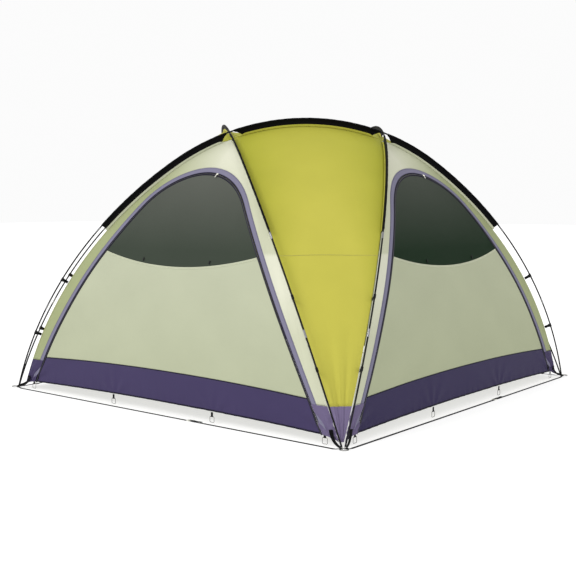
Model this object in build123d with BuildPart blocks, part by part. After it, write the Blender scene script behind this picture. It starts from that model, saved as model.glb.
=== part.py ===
from build123d import *
from math import acos, asin, atan2, cos, degrees, radians, sin, sqrt
import os

# A square dome shelter. Four arch poles stand in two crossed pairs, each pole in a plane that leans
# out towards one corner. A roof panel, four corner gussets and four side walls hang inside the poles.
# Every side has a door that is zipped into an arched opening and drops outwards about its hem.
# Millimetres, +Z up. The origin is the centre of the base, on the ground. The front faces -Y.

# ---------------------------------------------------------------- overall shape
side = 3500.0  # between neighbouring corners, on the ground
pole_rise = 2393.0  # a pole's crown above its feet, measured in the pole's own plane
pole_lean = 16.2  # degrees that each pole plane leans out of the vertical
crown_radius = 1852.0  # pole's crown arc
crown_angle = 35.63  # degrees, half of that arc
foot_offset = 6.0  # each pole plane stands this far out from the corner-to-corner diagonal
layer_rise = 8.0  # one pole pair is this much higher, and the other this much lower

# ---------------------------------------------------------------- poles
pole_od = 12.5
pole_bore = 9.0
pole_sections = 9
section_gap = 1.0  # between neighbouring sections, inside their ferrule
pole_start = 22.0  # from the ground point to the end of the tube, along the pole
ferrule_wall = 1.0
ferrule_length = 60.0
ferrule_clearance = 0.2
cord_diameter = 3.0
pin_diameter = 8.0
pin_reach = 60.0  # of the pin inside the tube
cord_to_pin = 6.0

# ---------------------------------------------------------------- fabric
fabric = 2.0  # thickness of every fabric solid
seam_drop = 55.0  # from the pole's centre line in to the fabric, in the pole's plane
seam_gap = 3.0  # from the pole's plane to the edge of the fabric beside it
corner_hem = 66.0  # height of the hem at the corners
skirt_height = 260.0  # top of the skirt at the corners
gusset_stations = 7
roof_stations = 5
roof_fill = 2 / 3  # how far the middle of the roof rises from the crossings to the crowns

# ---------------------------------------------------------------- sleeves and clips
sleeve_bore = 16.4
sleeve_wall = 1.0
fin = 3.0  # thickness of the doubled fabric between the seam and the pole
crossing_gap = 60.0  # from a crossing to the end of the sleeve, along the pole
sleeve_end_height = 1427.0
clip_heights = (504.0, 969.0)
clip_length = 30.0
clip_wall = 3.0
clip_clearance = 0.2
clip_mouth = 8.0
clip_neck = 10.0  # how far the clip stands in from its jaws
clip_neck_thickness = 5.0
tab_width = 25.0
webbing = 2.0  # thickness of all webbing

# ---------------------------------------------------------------- doors
door_half_width = 1600.0  # of the opening, at the hem
door_top = 1898.0
door_foot = 70.0
door_crown_radius = 750.0
door_crown_angle = 51.0
binding_width = 45.0
zip_clearance = 1.0
zip_width = 20.0
hem_rise = (90.0, 66.0)  # height of a door's hem in the middle and at its ends
hem_reach = 1560.0
skirt_rise = (330.0, 290.0)
skirt_reach = 1430.0
mesh_rise = (1120.0, 1240.0)
mesh_reach = 900.0

# ---------------------------------------------------------------- zip slider
slider_angle = 14.0  # degrees round the zip from the crown to the slider's rest place
slider_length = 22.0
slider_width = 14.0
slider_height = 6.0
slider_clearance = 0.8
pull_length = 34.0
pull_width = 9.0
pull_thickness = 2.0

# ---------------------------------------------------------------- rings, pins, straps
ring_radius = 30.0  # corner ring, to the middle of its wire
ring_wire = 6.0
ring_height = 10.0
eye_radius = 7.5  # pin's eye, to the middle of its wire
eye_wire = 4.0
strap_width = 20.0
strap_loop_width = 16.0
strap_ramp = 45.0
loop_clearance = 0.3
tail_from_corner = 110.0
tail_lap = 40.0  # of a corner tail over the wall
peg_ring_wire = 4.0
peg_ring_width = 42.0
peg_ring_drop = 43.0  # from its top bar to its bottom bar
peg_ring_bend = 8.0
peg_ring_top = 50.0  # height of the top bar's middle
hem_ring_place = 540.0
jamb_ring_place = 1572.0
ring_tab_width = 20.0
ring_tab_lap = 16.0
ring_tab_standoff = 0.6

LEAN = radians(pole_lean)
CORNERS = ("front_right", "back_right", "back_left", "front_left")
SIDES = ("front", "right", "back", "left")


class Arch:
    """A three-centred arch: a crown arc and two leg arcs tangent to it."""

    def __init__(self, half_span, rise, radius, angle, base=0.0):
        bend = radians(angle)
        run = half_span - radius * sin(bend)
        drop = rise - radius * (1 - cos(bend))
        self.angle = angle
        self.foot = 2 * degrees(atan2(drop, run)) - angle
        self.radius = radius
        self.leg_radius = drop / (cos(bend) - cos(radians(self.foot)))
        self.centre = (0.0, base + rise - radius)
        shift = radius - self.leg_radius
        self.leg_centre = (shift * sin(bend), self.centre[1] + shift * cos(bend))
        self.crown_length = radius * bend
        self.half_length = self.crown_length + self.leg_radius * radians(self.foot - angle)

    def circle(self, slope):
        """Centre and radius of the arc that holds a slope, in degrees from the crown."""
        if abs(slope) <= self.angle:
            return self.centre, self.radius
        x, y = self.leg_centre
        return (x if slope > 0 else -x, y), self.leg_radius

    def point(self, slope, drop=0.0):
        """A point of the arch, or of the curve that lies `drop` inside it."""
        (x, y), radius = self.circle(slope)
        turn = radians(slope)
        return x + (radius - drop) * sin(turn), y + (radius - drop) * cos(turn)

    def slope_along(self, length):
        """Slope at a length from the crown, to the left if negative."""
        reach = abs(length)
        slope = degrees(reach / self.radius)
        if reach > self.crown_length:
            slope = self.angle + degrees((reach - self.crown_length) / self.leg_radius)
        return slope if length > 0 else -slope

    def slope_at_height(self, height, drop=0.0):
        """Slope, on the right, where the curve `drop` inside the arch has a height."""
        slope = degrees(acos((height - self.leg_centre[1]) / (self.leg_radius - drop)))
        if slope < self.angle:
            slope = degrees(acos((height - self.centre[1]) / (self.radius - drop)))
        return slope

    def draw(self, start, end, drop=0.0):
        """Add the stretch from one slope to another to the line in hand."""
        cuts = [start] + [c for c in (-self.angle, self.angle) if start < c < end] + [end]
        for first, last in zip(cuts, cuts[1:]):
            middle, radius = self.circle((first + last) / 2)
            CenterArc(middle, radius - drop, 90 - first, first - last)


half_span = side / sqrt(2)
mean_arch = Arch(half_span, pole_rise, crown_radius, crown_angle)
high_arch = Arch(half_span, pole_rise + layer_rise, crown_radius, crown_angle)
low_arch = Arch(half_span, pole_rise - layer_rise, crown_radius, crown_angle)
door_arch = Arch(
    door_half_width, door_top - door_foot, door_crown_radius, door_crown_angle, door_foot
)


def lean_plane(turn=0.0):
    """Plane of the pole that bows to the front right corner, turned about Z."""
    along = Vector(1, 1, 0).normalized().rotate(Axis.Z, turn)
    out = Vector(1, -1, 0).normalized().rotate(Axis.Z, turn)
    up = out * sin(LEAN) + Vector(0, 0, cos(LEAN))
    return Plane(origin=out * foot_offset, x_dir=along, z_dir=along.cross(up))


pole_plane = lean_plane()


def square_plane(arch, slope, drop=0.0):
    """Plane square to a pole at a slope, with x pointing out of the arch."""
    turn = radians(slope)
    out = pole_plane.x_dir * sin(turn) + pole_plane.y_dir * cos(turn)
    along = pole_plane.x_dir * cos(turn) - pole_plane.y_dir * sin(turn)
    v, h = arch.point(slope, drop)
    return Plane(origin=pole_plane.from_local_coords((v, h, 0)), x_dir=out, z_dir=along)


def crossing_slope():
    """Slope at which two neighbouring poles cross: there, v equals the pole plane's offset."""
    low, high = 0.0, crown_angle
    while high - low > 1e-6:
        middle = (low + high) / 2
        v, h = mean_arch.point(middle)
        if v < h * sin(LEAN) + foot_offset:
            low = middle
        else:
            high = middle
    return low


cross = crossing_slope()
clear_cross = degrees(crossing_gap / crown_radius)


def save(piece, name):
    """Label a finished piece and write it to its own file."""
    piece.label = name
    export_step(piece, f"parts/{name}.step")


def turned(piece, quarter):
    """A copy of a piece, turned about Z by a number of right angles."""
    return Rot(0, 0, 90 * quarter) * piece


def around(piece, quarters=range(4)):
    """One group of solids made of a piece and its copies round the shelter."""
    with BuildPart() as group:
        for quarter in quarters:
            add(turned(piece, quarter))
    return group.part


# ---------------------------------------------------------------- poles


def make_tubes(arch, spans, outer, bore):
    """Tubes that follow a pole, one for each pair of lengths from the crown."""
    with BuildPart() as tubes:
        for start, end in spans:
            first, last = arch.slope_along(start), arch.slope_along(end)
            with BuildLine(pole_plane, mode=Mode.PRIVATE) as path:
                arch.draw(first, last)
            with BuildSketch(square_plane(arch, first)):
                Circle(outer / 2)
                if bore:
                    Circle(bore / 2, mode=Mode.SUBTRACT)
            sweep(path=path.wires()[0])
    return tubes.part


def joint_places(arch):
    """Lengths from the crown at which the sections of a pole meet."""
    step = 2 * arch.half_length / pole_sections
    return [-arch.half_length + step * i for i in range(1, pole_sections)]


def make_pole(arch):
    """The hollow sections of one pole."""
    end = arch.half_length - pole_start
    cuts = [-end] + joint_places(arch) + [end]
    gap = section_gap / 2
    spans = [
        (a + (gap if a > -end else 0), b - (gap if b < end else 0)) for a, b in zip(cuts, cuts[1:])
    ]
    return make_tubes(arch, spans, pole_od, pole_bore)


def make_ferrules(arch):
    """The metal collars over the joints of one pole."""
    half = ferrule_length / 2
    bore = pole_od + ferrule_clearance
    spans = [(place - half, place + half) for place in joint_places(arch)]
    return make_tubes(arch, spans, bore + 2 * ferrule_wall, bore)


def make_shock_cord(arch):
    """The elastic cord inside one pole, between its two pins."""
    end = arch.half_length - pole_start - pin_reach - cord_to_pin
    return make_tubes(arch, [(-end, end)], cord_diameter, 0)


# ---------------------------------------------------------------- sleeves and clips


def make_sleeve(arch, depth):
    """Three stretches of sleeve: a tube round the pole on a flat fin that reaches in to the seam."""
    end = arch.slope_at_height(sleeve_end_height / cos(LEAN))
    outer = sleeve_bore / 2 + sleeve_wall
    stretches = (
        (-end, -cross - clear_cross),
        (-cross + clear_cross, cross - clear_cross),
        (cross + clear_cross, end),
    )
    with BuildPart() as sleeve:
        for first, last in stretches:
            with BuildLine(pole_plane, mode=Mode.PRIVATE) as path:
                arch.draw(first, last)
            with BuildSketch(square_plane(arch, first)):
                with Locations((-depth / 2, 0)):
                    Rectangle(depth, fin)
                Circle(outer)
                Circle(sleeve_bore / 2, mode=Mode.SUBTRACT)
                with Locations((sleeve_bore / 2, 0)):
                    Rectangle(sleeve_bore, fin, mode=Mode.SUBTRACT)
                with Locations((outer - sleeve_wall / 2, 0)):
                    Rectangle(sleeve_wall, fin)
            sweep(path=path.wires()[0])
    return sleeve.part


def clip_slopes(arch):
    """Slopes of the clips, on both legs."""
    slopes = [arch.slope_at_height(height / cos(LEAN)) for height in clip_heights]
    return [-slope for slope in slopes] + slopes


jaw = (pole_od / 2) + clip_clearance
clip_back = jaw + clip_wall + clip_neck  # from the pole's centre to the inner end of a clip


def make_clips(arch):
    """The plastic clips that snap onto the legs of one pole."""
    with BuildPart() as clips:
        for slope in clip_slopes(arch):
            with BuildSketch(square_plane(arch, slope)):
                Circle(jaw + clip_wall)
                with Locations((-clip_back / 2, 0)):
                    Rectangle(clip_back, clip_neck_thickness)
                Circle(jaw, mode=Mode.SUBTRACT)
                with Locations((jaw, 0)):
                    Rectangle(2 * clip_wall + jaw, clip_mouth, mode=Mode.SUBTRACT)
            extrude(amount=clip_length / 2, both=True)
    return clips.part


def make_clip_tabs(arch):
    """The webbing tabs that tie those clips to the seam."""
    reach = seam_drop - clip_back
    with BuildPart() as tabs:
        for slope in clip_slopes(arch):
            with BuildSketch(square_plane(arch, slope)):
                with Locations((-clip_back - reach / 2, 0)):
                    Rectangle(reach, webbing)
            extrude(amount=tab_width / 2, both=True)
    return tabs.part


# ---------------------------------------------------------------- roof and gussets


def seam_point(slope, drop=seam_drop):
    """On a seam: distance along the diagonal, distance out from the diagonal, and height."""
    v, h = mean_arch.point(slope, drop)
    return v, h * sin(LEAN) + foot_offset, h * cos(LEAN)


def draw_strip(half, rise):
    """A bowed strip of fabric, `half` wide each way and rising by `rise` in the middle."""
    tangents = [(half, 2 * rise), (half, -2 * rise)]
    with BuildLine() as outline:
        Spline((-half, 0), (0, rise), (half, 0), tangents=tangents)
        Line((half, 0), (half, -fabric))
        Spline((-half, -fabric), (0, rise - fabric), (half, -fabric), tangents=tangents)
        Line((-half, 0), (-half, -fabric))
    make_face(outline.edges())


def crown_rise():
    """Height of a pole's crown above its crossings, in the pole's plane, on the seam."""
    return mean_arch.point(0, seam_drop)[1] - mean_arch.point(cross, seam_drop)[1]


def gusset_station(share):
    """Plane, half width and bow of a gusset at a share of the way from the ground to the crossing."""
    foot = mean_arch.foot
    slope = foot + (cross - foot) * share
    u, width, z = seam_point(slope)
    turn = radians(slope)
    normal = Vector(sin(turn) * cos(LEAN), 0, cos(turn)).normalized().rotate(Axis.Z, -45)
    across = Vector(0, 1, 0).rotate(Axis.Z, -45)
    origin = Vector(u, 0, z).rotate(Axis.Z, -45)
    plane = Plane(origin=origin, x_dir=across, z_dir=across.cross(normal))
    return plane, width - seam_gap, fabric + crown_rise() * share**2


def make_gusset(low, high):
    """The front right gusset between two heights, closed at the top by the pole that crosses it."""
    past_crossing = 1.08
    with BuildPart() as gusset:
        for i in range(gusset_stations):
            plane, half, rise = gusset_station(past_crossing * i / (gusset_stations - 1))
            with BuildSketch(plane):
                draw_strip(half, rise)
        loft()
        split(bisect_by=Plane.XY.offset(low), keep=Keep.TOP)
        if high:
            split(bisect_by=Plane.XY.offset(high), keep=Keep.BOTTOM)
        else:
            split(bisect_by=pole_plane.offset(seam_gap), keep=Keep.TOP)
    return gusset.part


def make_roof():
    """The roof panel between the four crowns, a shallow saddle from arch to arch."""
    reach, _, cross_z = seam_point(cross)
    crown_z = seam_point(0)[2]
    middle_z = cross_z + roof_fill * (crown_z - cross_z)
    end = foot_offset + mean_arch.point(cross, seam_drop)[1] * sin(LEAN) - seam_gap / cos(LEAN)
    with BuildPart() as roof:
        for i in range(roof_stations):
            share = 2 * i / (roof_stations - 1) - 1
            slope = degrees(asin(min(end, reach) * share / (crown_radius - seam_drop)))
            _, width, z = seam_point(slope)
            tilt = LEAN * share
            up = Vector(sin(tilt), 0, cos(tilt)).rotate(Axis.Z, -45)
            across = Vector(0, 1, 0).rotate(Axis.Z, -45)
            origin = Vector(end * share, 0, z).rotate(Axis.Z, -45)
            top = middle_z + (crown_z - middle_z) * share**2
            with BuildSketch(Plane(origin=origin, x_dir=across, z_dir=across.cross(up))):
                draw_strip(width - seam_gap, (top - z) / cos(tilt))
        loft()
    return roof.part


# ---------------------------------------------------------------- walls and doors


def wall_point(slope, drop):
    """Distance out from the middle and height of a side wall's level lines."""
    v, out, z = seam_point(slope, drop)
    return -(v + out) / sqrt(2), z


def wall_place(height, drop=seam_drop):
    """Distance out from the middle, as a negative Y, of the front wall at a height."""
    return wall_point(mean_arch.slope_at_height(height / cos(LEAN), drop), drop)[0]


def add_wall_shell():
    """Profile of the whole front wall, from below its hem to past its peak."""
    stations = 14
    past = 5.0  # degrees past the crossing
    first, last = cross - past, mean_arch.foot
    slopes = [first + (last - first) * i / stations for i in range(stations + 1)]
    with BuildLine() as outline:
        outer = Spline(*[wall_point(slope, seam_drop) for slope in slopes])
        inner = Spline(*[wall_point(slope, seam_drop + fabric) for slope in slopes])
        Line(outer @ 0, inner @ 0)
        Line(outer @ 1, inner @ 1)
    make_face(outline.edges())


def draw_outline(drop):
    """Face inside the door's arch, less a margin, running on down past the ground."""
    extend = 6.0  # degrees
    end = door_arch.foot + extend
    with BuildLine() as outline:
        door_arch.draw(-end, end, drop)
        Line(door_arch.point(-end, drop), door_arch.point(end, drop))
    make_face(outline.edges())


def draw_between(low, low_reach, high, high_reach):
    """Face between two shallow curves, each given by its heights in the middle and at a reach."""
    ends = []
    with BuildLine() as outline:
        for (middle, edge), reach in ((low, low_reach), (high, high_reach)):
            spread = side / 2 / reach
            height = middle + (edge - middle) * spread**2
            curve = ThreePointArc((-side / 2, height), (0, middle), (side / 2, height))
            ends.append((curve @ 0, curve @ 1))
        Line(ends[0][0], ends[1][0])
        Line(ends[0][1], ends[1][1])
    make_face(outline.edges(), mode=Mode.INTERSECT)


over_top = (1.5 * door_top, 1.5 * door_top + 1.0)


def make_door_piece(margin, low, low_reach, high, high_reach, inner_margin=None):
    """A piece cut from the front wall's shell, inside the door's arch and between two curves."""
    with BuildPart() as piece:
        with BuildSketch(Plane.YZ):
            add_wall_shell()
        extrude(amount=side / 2, both=True)
        with BuildSketch(Plane.XZ):
            draw_outline(margin)
            draw_between(low, low_reach, high, high_reach)
        extrude(amount=side, mode=Mode.INTERSECT)
        if inner_margin:
            with BuildSketch(Plane.XZ):
                draw_outline(inner_margin)
            extrude(amount=side, mode=Mode.SUBTRACT)
    return piece.part


def make_wall_piece(low, high):
    """The front wall outside its door's opening, between two heights and the two poles."""
    with BuildPart() as piece:
        with BuildSketch(Plane.YZ):
            add_wall_shell()
        extrude(amount=side / 2, both=True)
        with BuildSketch(Plane.XZ):
            draw_outline(0)
        extrude(amount=side, mode=Mode.SUBTRACT)
        split(bisect_by=Plane.XY.offset(low), keep=Keep.TOP)
        if high:
            split(bisect_by=Plane.XY.offset(high), keep=Keep.BOTTOM)
        for turn in (0, -90):
            split(bisect_by=lean_plane(turn).offset(seam_gap), keep=Keep.TOP)
    return piece.part


zip_outer = binding_width + zip_clearance
zip_inner = zip_outer + zip_width


# ---------------------------------------------------------------- zip slider


def slider_frame():
    """Plane on the front wall at the zip's crown, with z pointing out, and the zip's radius there."""
    slope_low = mean_arch.slope_at_height((door_top - zip_outer) / cos(LEAN), seam_drop)
    step = 0.05
    y0, z0 = wall_point(slope_low - step, seam_drop)
    y1, z1 = wall_point(slope_low + step, seam_drop)
    up = Vector(0, y0 - y1, z0 - z1).normalized()
    y, z = wall_point(slope_low, seam_drop)
    plane = Plane(origin=(0, y, z), x_dir=(1, 0, 0), z_dir=Vector(1, 0, 0).cross(up))
    radius = (door_crown_radius - zip_outer) * up.Z
    return plane, radius


def make_slider():
    """Slider body and its hanging pull, at the slider's rest place on the front door's zip."""
    plane, radius = slider_frame()
    turn = radians(slider_angle)
    middle = plane.from_local_coords((radius * sin(turn), radius * (cos(turn) - 1), 0))
    along = plane.x_dir * cos(turn) - plane.y_dir * sin(turn)
    body = Plane(origin=middle, x_dir=along, z_dir=plane.z_dir).offset(slider_clearance)
    with BuildPart() as slider:
        with BuildSketch(body):
            RectangleRounded(slider_length, slider_width, slider_width / 4)
        extrude(amount=slider_height)
        with BuildSketch(body.offset(slider_height)):
            with Locations((0, -pull_length / 2)):
                RectangleRounded(pull_width, pull_length, pull_width / 3)
        extrude(amount=pull_thickness)
    return slider.part


# ---------------------------------------------------------------- corner hardware


def foot_eye():
    """Where the front right foot's axis meets the ring's height: diagonal and sideways distance."""
    height = ring_height / cos(LEAN)
    v, _ = mean_arch.point(mean_arch.slope_at_height(height))
    return v, height * sin(LEAN) + foot_offset


eye_along, eye_across = foot_eye()
ring_along = eye_along + sqrt(ring_radius**2 - eye_across**2)  # ring's centre, on the diagonal
diagonal = Vector(1, 1, 0).normalized()
crosswise = Vector(1, -1, 0).normalized()


def make_corner_ring():
    """Welded ring at the back right corner."""
    with BuildPart() as ring:
        with BuildSketch(Plane(origin=diagonal * ring_along + Vector(0, 0, ring_height),
                               x_dir=diagonal, z_dir=crosswise)):
            with Locations((ring_radius, 0)):
                Circle(ring_wire / 2)
        axis = Axis(diagonal * ring_along + Vector(0, 0, ring_height), (0, 0, 1))
        revolve(axis=axis)
    return ring.part


def make_pin(arch):
    """Pin in the foot of the pole that bows to the front right: a rod with an eye on the ring."""
    centre = diagonal * eye_along + crosswise * eye_across + Vector(0, 0, ring_height)
    bend = asin(eye_across / ring_radius)
    tangent = crosswise * cos(bend) + diagonal * sin(bend)
    end = arch.half_length - pole_start - pin_reach
    inside = square_plane(arch, arch.slope_along(end)).origin
    axis = inside - centre
    with BuildPart() as pin:
        with BuildSketch(Plane(origin=centre + axis.normalized() * eye_radius, z_dir=axis)):
            Circle(pin_diameter / 2)
        extrude(amount=axis.length - eye_radius)
        with BuildSketch(Plane(origin=centre, x_dir=(0, 0, 1), z_dir=tangent.cross(Vector(0, 0, 1)))):
            with Locations((eye_radius, 0)):
                Circle(eye_wire / 2)
        revolve(axis=Axis(centre, tangent))
        with BuildSketch(Plane(origin=centre, z_dir=tangent)):
            Circle(eye_radius - eye_wire / 2)
        extrude(amount=pin_diameter, both=True, mode=Mode.SUBTRACT)
    return pin.part


ring_centre = ring_along / sqrt(2)  # from the middle of the shelter, along X and along Y
loop_bow = ring_radius - sqrt(ring_radius**2 - (strap_loop_width / 2) ** 2)
loop_bore = ring_wire / 2 + loop_bow + loop_clearance


def make_strap():
    """Ground strap along the front, with a loop round the ring at each end."""
    loop_x = ring_centre - ring_radius
    loop_outer = loop_bore + webbing
    ramp_end = loop_x - loop_bore - webbing / 2
    ramp_start = loop_x - loop_outer - strap_ramp
    with BuildPart() as strap:
        with BuildSketch(Plane.XZ.offset(ring_centre)):
            with Locations((0, webbing / 2)):
                Rectangle(2 * ramp_start, webbing)
        extrude(amount=strap_width / 2, both=True)
        with BuildSketch(Plane.XZ.offset(ring_centre)):
            for x in (-1, 1):
                with BuildLine():
                    Polyline(
                        (x * ramp_start, 0),
                        (x * ramp_end, ring_height - webbing / 2),
                        (x * ramp_end, ring_height + webbing / 2),
                        (x * ramp_start, webbing),
                        close=True,
                    )
                make_face()
            with Locations((-loop_x, ring_height), (loop_x, ring_height)):
                Circle(loop_outer)
                Circle(loop_bore, mode=Mode.SUBTRACT)
        extrude(amount=strap_loop_width / 2, both=True)
    return strap.part


def make_corner_tails():
    """Webbing from the front wall's two lower corners down to the ground strap."""
    lap = corner_hem + tail_lap
    wall = wall_place(corner_hem) - ring_tab_standoff - webbing / 2
    top = wall_place(lap) - ring_tab_standoff - webbing / 2
    foot = -ring_centre + strap_width / 2 - webbing / 2
    flat = webbing * 1.5  # middle of the webbing that lies on the strap
    with BuildPart() as tails:
        for x in (-1, 1):
            with BuildSketch(Plane.YZ.offset(x * (side / 2 - tail_from_corner))):
                with BuildLine(mode=Mode.PRIVATE) as route:
                    Polyline((top, lap), (min(wall, top), corner_hem), (foot, flat),
                             (foot - strap_width + 2 * webbing, flat))
                trace(route.edges(), line_width=webbing)
            extrude(amount=strap_width / 2, both=True)
    return tails.part


# ---------------------------------------------------------------- peg rings on the hem

ring_y = wall_place(corner_hem) - ring_tab_standoff - webbing / 2
tab_bore = peg_ring_wire / 2 + loop_clearance


def make_ring_tabs(place):
    """Two webbing tabs on the front hem, each ending in a loop for a peg ring."""
    top = corner_hem + ring_tab_lap
    loop_outer = tab_bore + webbing
    middle = (top + peg_ring_top + tab_bore + webbing / 2) / 2
    with BuildPart() as tabs:
        for x in (-place, place):
            with BuildSketch(Plane.YZ.offset(x)):
                with Locations((ring_y, middle)):
                    Rectangle(webbing, 2 * (top - middle))
                with Locations((ring_y, peg_ring_top)):
                    Circle(loop_outer)
                    Circle(tab_bore, mode=Mode.SUBTRACT)
            extrude(amount=ring_tab_width / 2, both=True)
    return tabs.part


def make_peg_rings(place):
    """Two rectangular wire rings that hang in those tabs."""
    with BuildPart() as rings:
        for x in (-place, place):
            middle = (x, ring_y, peg_ring_top - peg_ring_drop / 2)
            frame = Plane(origin=middle, x_dir=(1, 0, 0), z_dir=(0, -1, 0))
            with BuildSketch(frame, mode=Mode.PRIVATE) as shape:
                RectangleRounded(peg_ring_width, peg_ring_drop, peg_ring_bend)
            path = shape.sketch.wires()[0]
            with BuildSketch(Plane(origin=path @ 0, z_dir=path % 0)):
                Circle(peg_ring_wire / 2)
            sweep(path=path)
    return rings.part


def make_pole_pins(arch):
    """The pins in both feet of one pole."""
    pin = make_pin(arch)
    with BuildPart() as pins:
        add(pin)
        add(mirror(pin, about=Plane(origin=(0, 0, 0), z_dir=diagonal)))
    return pins.part


def make_corner_skirt():
    """The skirt round the front right corner: the foot of the gusset and of the wall beside it."""
    with BuildPart() as skirt:
        add(make_gusset(corner_hem, skirt_height))
        add(make_wall_piece(corner_hem, skirt_height))
    return skirt.part


def make_on_all_poles(make):
    """The same kind of piece on all four poles, as one group."""
    with BuildPart() as group:
        for arch, quarters in ((high_arch, (0, 2)), (low_arch, (1, 3))):
            piece = make(arch)
            for quarter in quarters:
                add(turned(piece, quarter))
    return group.part


# ---------------------------------------------------------------- build and write

os.makedirs("parts", exist_ok=True)

# The pair bowing to the front right and back left corners runs over the other pair.
fin_reach = {high_arch: seam_drop - seam_gap + layer_rise, low_arch: seam_drop - seam_gap - layer_rise}

for arch, quarters in ((high_arch, (0, 2)), (low_arch, (1, 3))):
    pole = make_pole(arch)
    sleeve = make_sleeve(arch, fin_reach[arch])
    for quarter in quarters:
        save(turned(pole, quarter), f"pole_{CORNERS[quarter]}")
        save(turned(sleeve, quarter), f"sleeve_{CORNERS[quarter]}")

save(make_on_all_poles(make_ferrules), "pole_ferrules")
save(make_on_all_poles(make_shock_cord), "shock_cords")
save(make_on_all_poles(make_clips), "pole_clips")
save(make_on_all_poles(make_clip_tabs), "clip_tabs")

save(make_on_all_poles(make_pole_pins), "corner_pins")
save(around(make_corner_ring()), "corner_rings")
save(around(make_strap()), "ground_straps")
save(around(make_corner_tails()), "corner_webbing")

save(make_roof(), "roof_panel")
gusset = make_gusset(skirt_height, None)
for quarter, corner in enumerate(CORNERS):
    save(turned(gusset, quarter), f"gusset_{corner}")

save(around(make_corner_skirt()), "corner_skirts")

wall = make_wall_piece(skirt_height, None)
binding = make_door_piece(0, hem_rise, hem_reach, over_top, side, binding_width)
door_pieces = {
    "wall": wall,
    "door_zip": make_door_piece(zip_outer, hem_rise, hem_reach, over_top, side, zip_inner),
    "door_mesh": make_door_piece(zip_inner, mesh_rise, mesh_reach, over_top, side),
    "door_panel": make_door_piece(zip_inner, skirt_rise, skirt_reach, mesh_rise, mesh_reach),
    "door_skirt": make_door_piece(zip_inner, hem_rise, hem_reach, skirt_rise, skirt_reach),
    "zip_slider": make_slider(),
    "hem_ring_tabs": make_ring_tabs(hem_ring_place),
    "hem_rings": make_peg_rings(hem_ring_place),
    "jamb_rings": make_peg_rings(jamb_ring_place),
}
for name, piece in door_pieces.items():
    for quarter, where in enumerate(SIDES):
        save(turned(piece, quarter), f"{name}_{where}")
save(around(binding), "door_bindings")
save(around(make_ring_tabs(jamb_ring_place)), "jamb_ring_tabs")
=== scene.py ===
"""Looks of a square dome event shelter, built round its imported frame.

Four arch poles in crossed pairs carry black sleeves, a bright roof strip, cream walls and four
zip-in doors. Everything is in metres, in the frame's own axes: +Z up, and the front faces -Y.
"""

from __future__ import annotations

import logging
from dataclasses import dataclass
from enum import Enum
from math import atan2, cos, pi, radians, sin, sqrt
from typing import ClassVar

import bpy
import numpy as np
from mathutils import Matrix, Vector

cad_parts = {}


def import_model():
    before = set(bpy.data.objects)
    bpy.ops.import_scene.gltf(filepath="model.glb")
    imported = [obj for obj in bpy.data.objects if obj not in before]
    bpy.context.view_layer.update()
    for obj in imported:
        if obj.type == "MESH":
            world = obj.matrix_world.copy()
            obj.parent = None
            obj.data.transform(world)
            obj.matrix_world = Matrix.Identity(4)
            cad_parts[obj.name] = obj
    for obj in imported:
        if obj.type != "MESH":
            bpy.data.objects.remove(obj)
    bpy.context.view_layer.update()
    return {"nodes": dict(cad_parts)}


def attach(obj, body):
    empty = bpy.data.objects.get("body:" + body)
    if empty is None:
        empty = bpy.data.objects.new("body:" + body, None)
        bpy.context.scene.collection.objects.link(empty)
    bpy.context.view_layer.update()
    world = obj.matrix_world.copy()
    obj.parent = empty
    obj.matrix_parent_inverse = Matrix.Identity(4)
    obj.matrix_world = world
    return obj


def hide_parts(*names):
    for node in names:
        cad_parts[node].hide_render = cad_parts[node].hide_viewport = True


LOG = logging.getLogger("shelter")

SIDES = ("front", "right", "back", "left")
CORNERS = ("front_right", "back_right", "back_left", "front_left")
UP = np.array([0.0, 0.0, 1.0])
MIDDLE = np.array([0.0, 0.0, 0.6])
"""A point well inside the shelter, from which its cloth faces away."""

PEGS = (-1.572, -0.54, 0.54, 1.572)
"""Places of the peg rings along a wall's hem."""

Points = np.ndarray
Curve = tuple[float, float, float]
Colour = tuple[float, float, float]
Socket = bpy.types.NodeSocket
Object = bpy.types.Object
Material = bpy.types.Material


# ---------------------------------------------------------------- shape


@dataclass(frozen=True)
class Arch:
    """A crown arc with a tangent leg arc at each side, standing on a level base.

    Args:
        half_span: from the middle to a foot.
        rise: from the base to the crown.
        radius: of the crown arc.
        angle: half of the crown arc, in radians.
        base: height of the base.
    """

    half_span: float
    rise: float
    radius: float
    angle: float
    base: float = 0.0

    @property
    def foot(self) -> float:
        """Slope at the foot, in radians from the crown."""
        run = self.half_span - self.radius * sin(self.angle)
        drop = self.rise - self.radius * (1 - cos(self.angle))
        return 2 * atan2(drop, run) - self.angle

    @property
    def leg_radius(self) -> float:
        """Radius of the leg arcs."""
        drop = self.rise - self.radius * (1 - cos(self.angle))
        return drop / (cos(self.angle) - cos(self.foot))

    def point(self, slope: Points | float, drop: Points | float = 0.0) -> tuple[Points, Points]:
        """Points at slopes from the crown, moved in from the arch.

        Args:
            slope: radians from the crown, negative to the left.
            drop: how far inside the arch.

        Returns:
            The sideways and upward coordinates.
        """
        slope = np.asarray(slope, float)
        side = np.sign(slope)
        leg = np.abs(slope) > self.angle
        shift = np.where(leg, self.radius - self.leg_radius, 0.0)
        radius = np.where(leg, self.leg_radius, self.radius) - drop
        x = side * shift * sin(self.angle) + radius * np.sin(slope)
        y = self.base + self.rise - self.radius + shift * cos(self.angle) + radius * np.cos(slope)
        return x, y

    def slope_along(self, length: Points | float) -> Points:
        """Slopes at lengths from the crown, negative to the left.

        Args:
            length: along the arch from the crown.

        Returns:
            Radians from the crown.
        """
        length = np.asarray(length, float)
        reach = np.abs(length)
        crown = self.radius * self.angle
        leg = self.angle + (reach - crown) / self.leg_radius
        return np.sign(length) * np.where(reach <= crown, reach / self.radius, leg)


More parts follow.
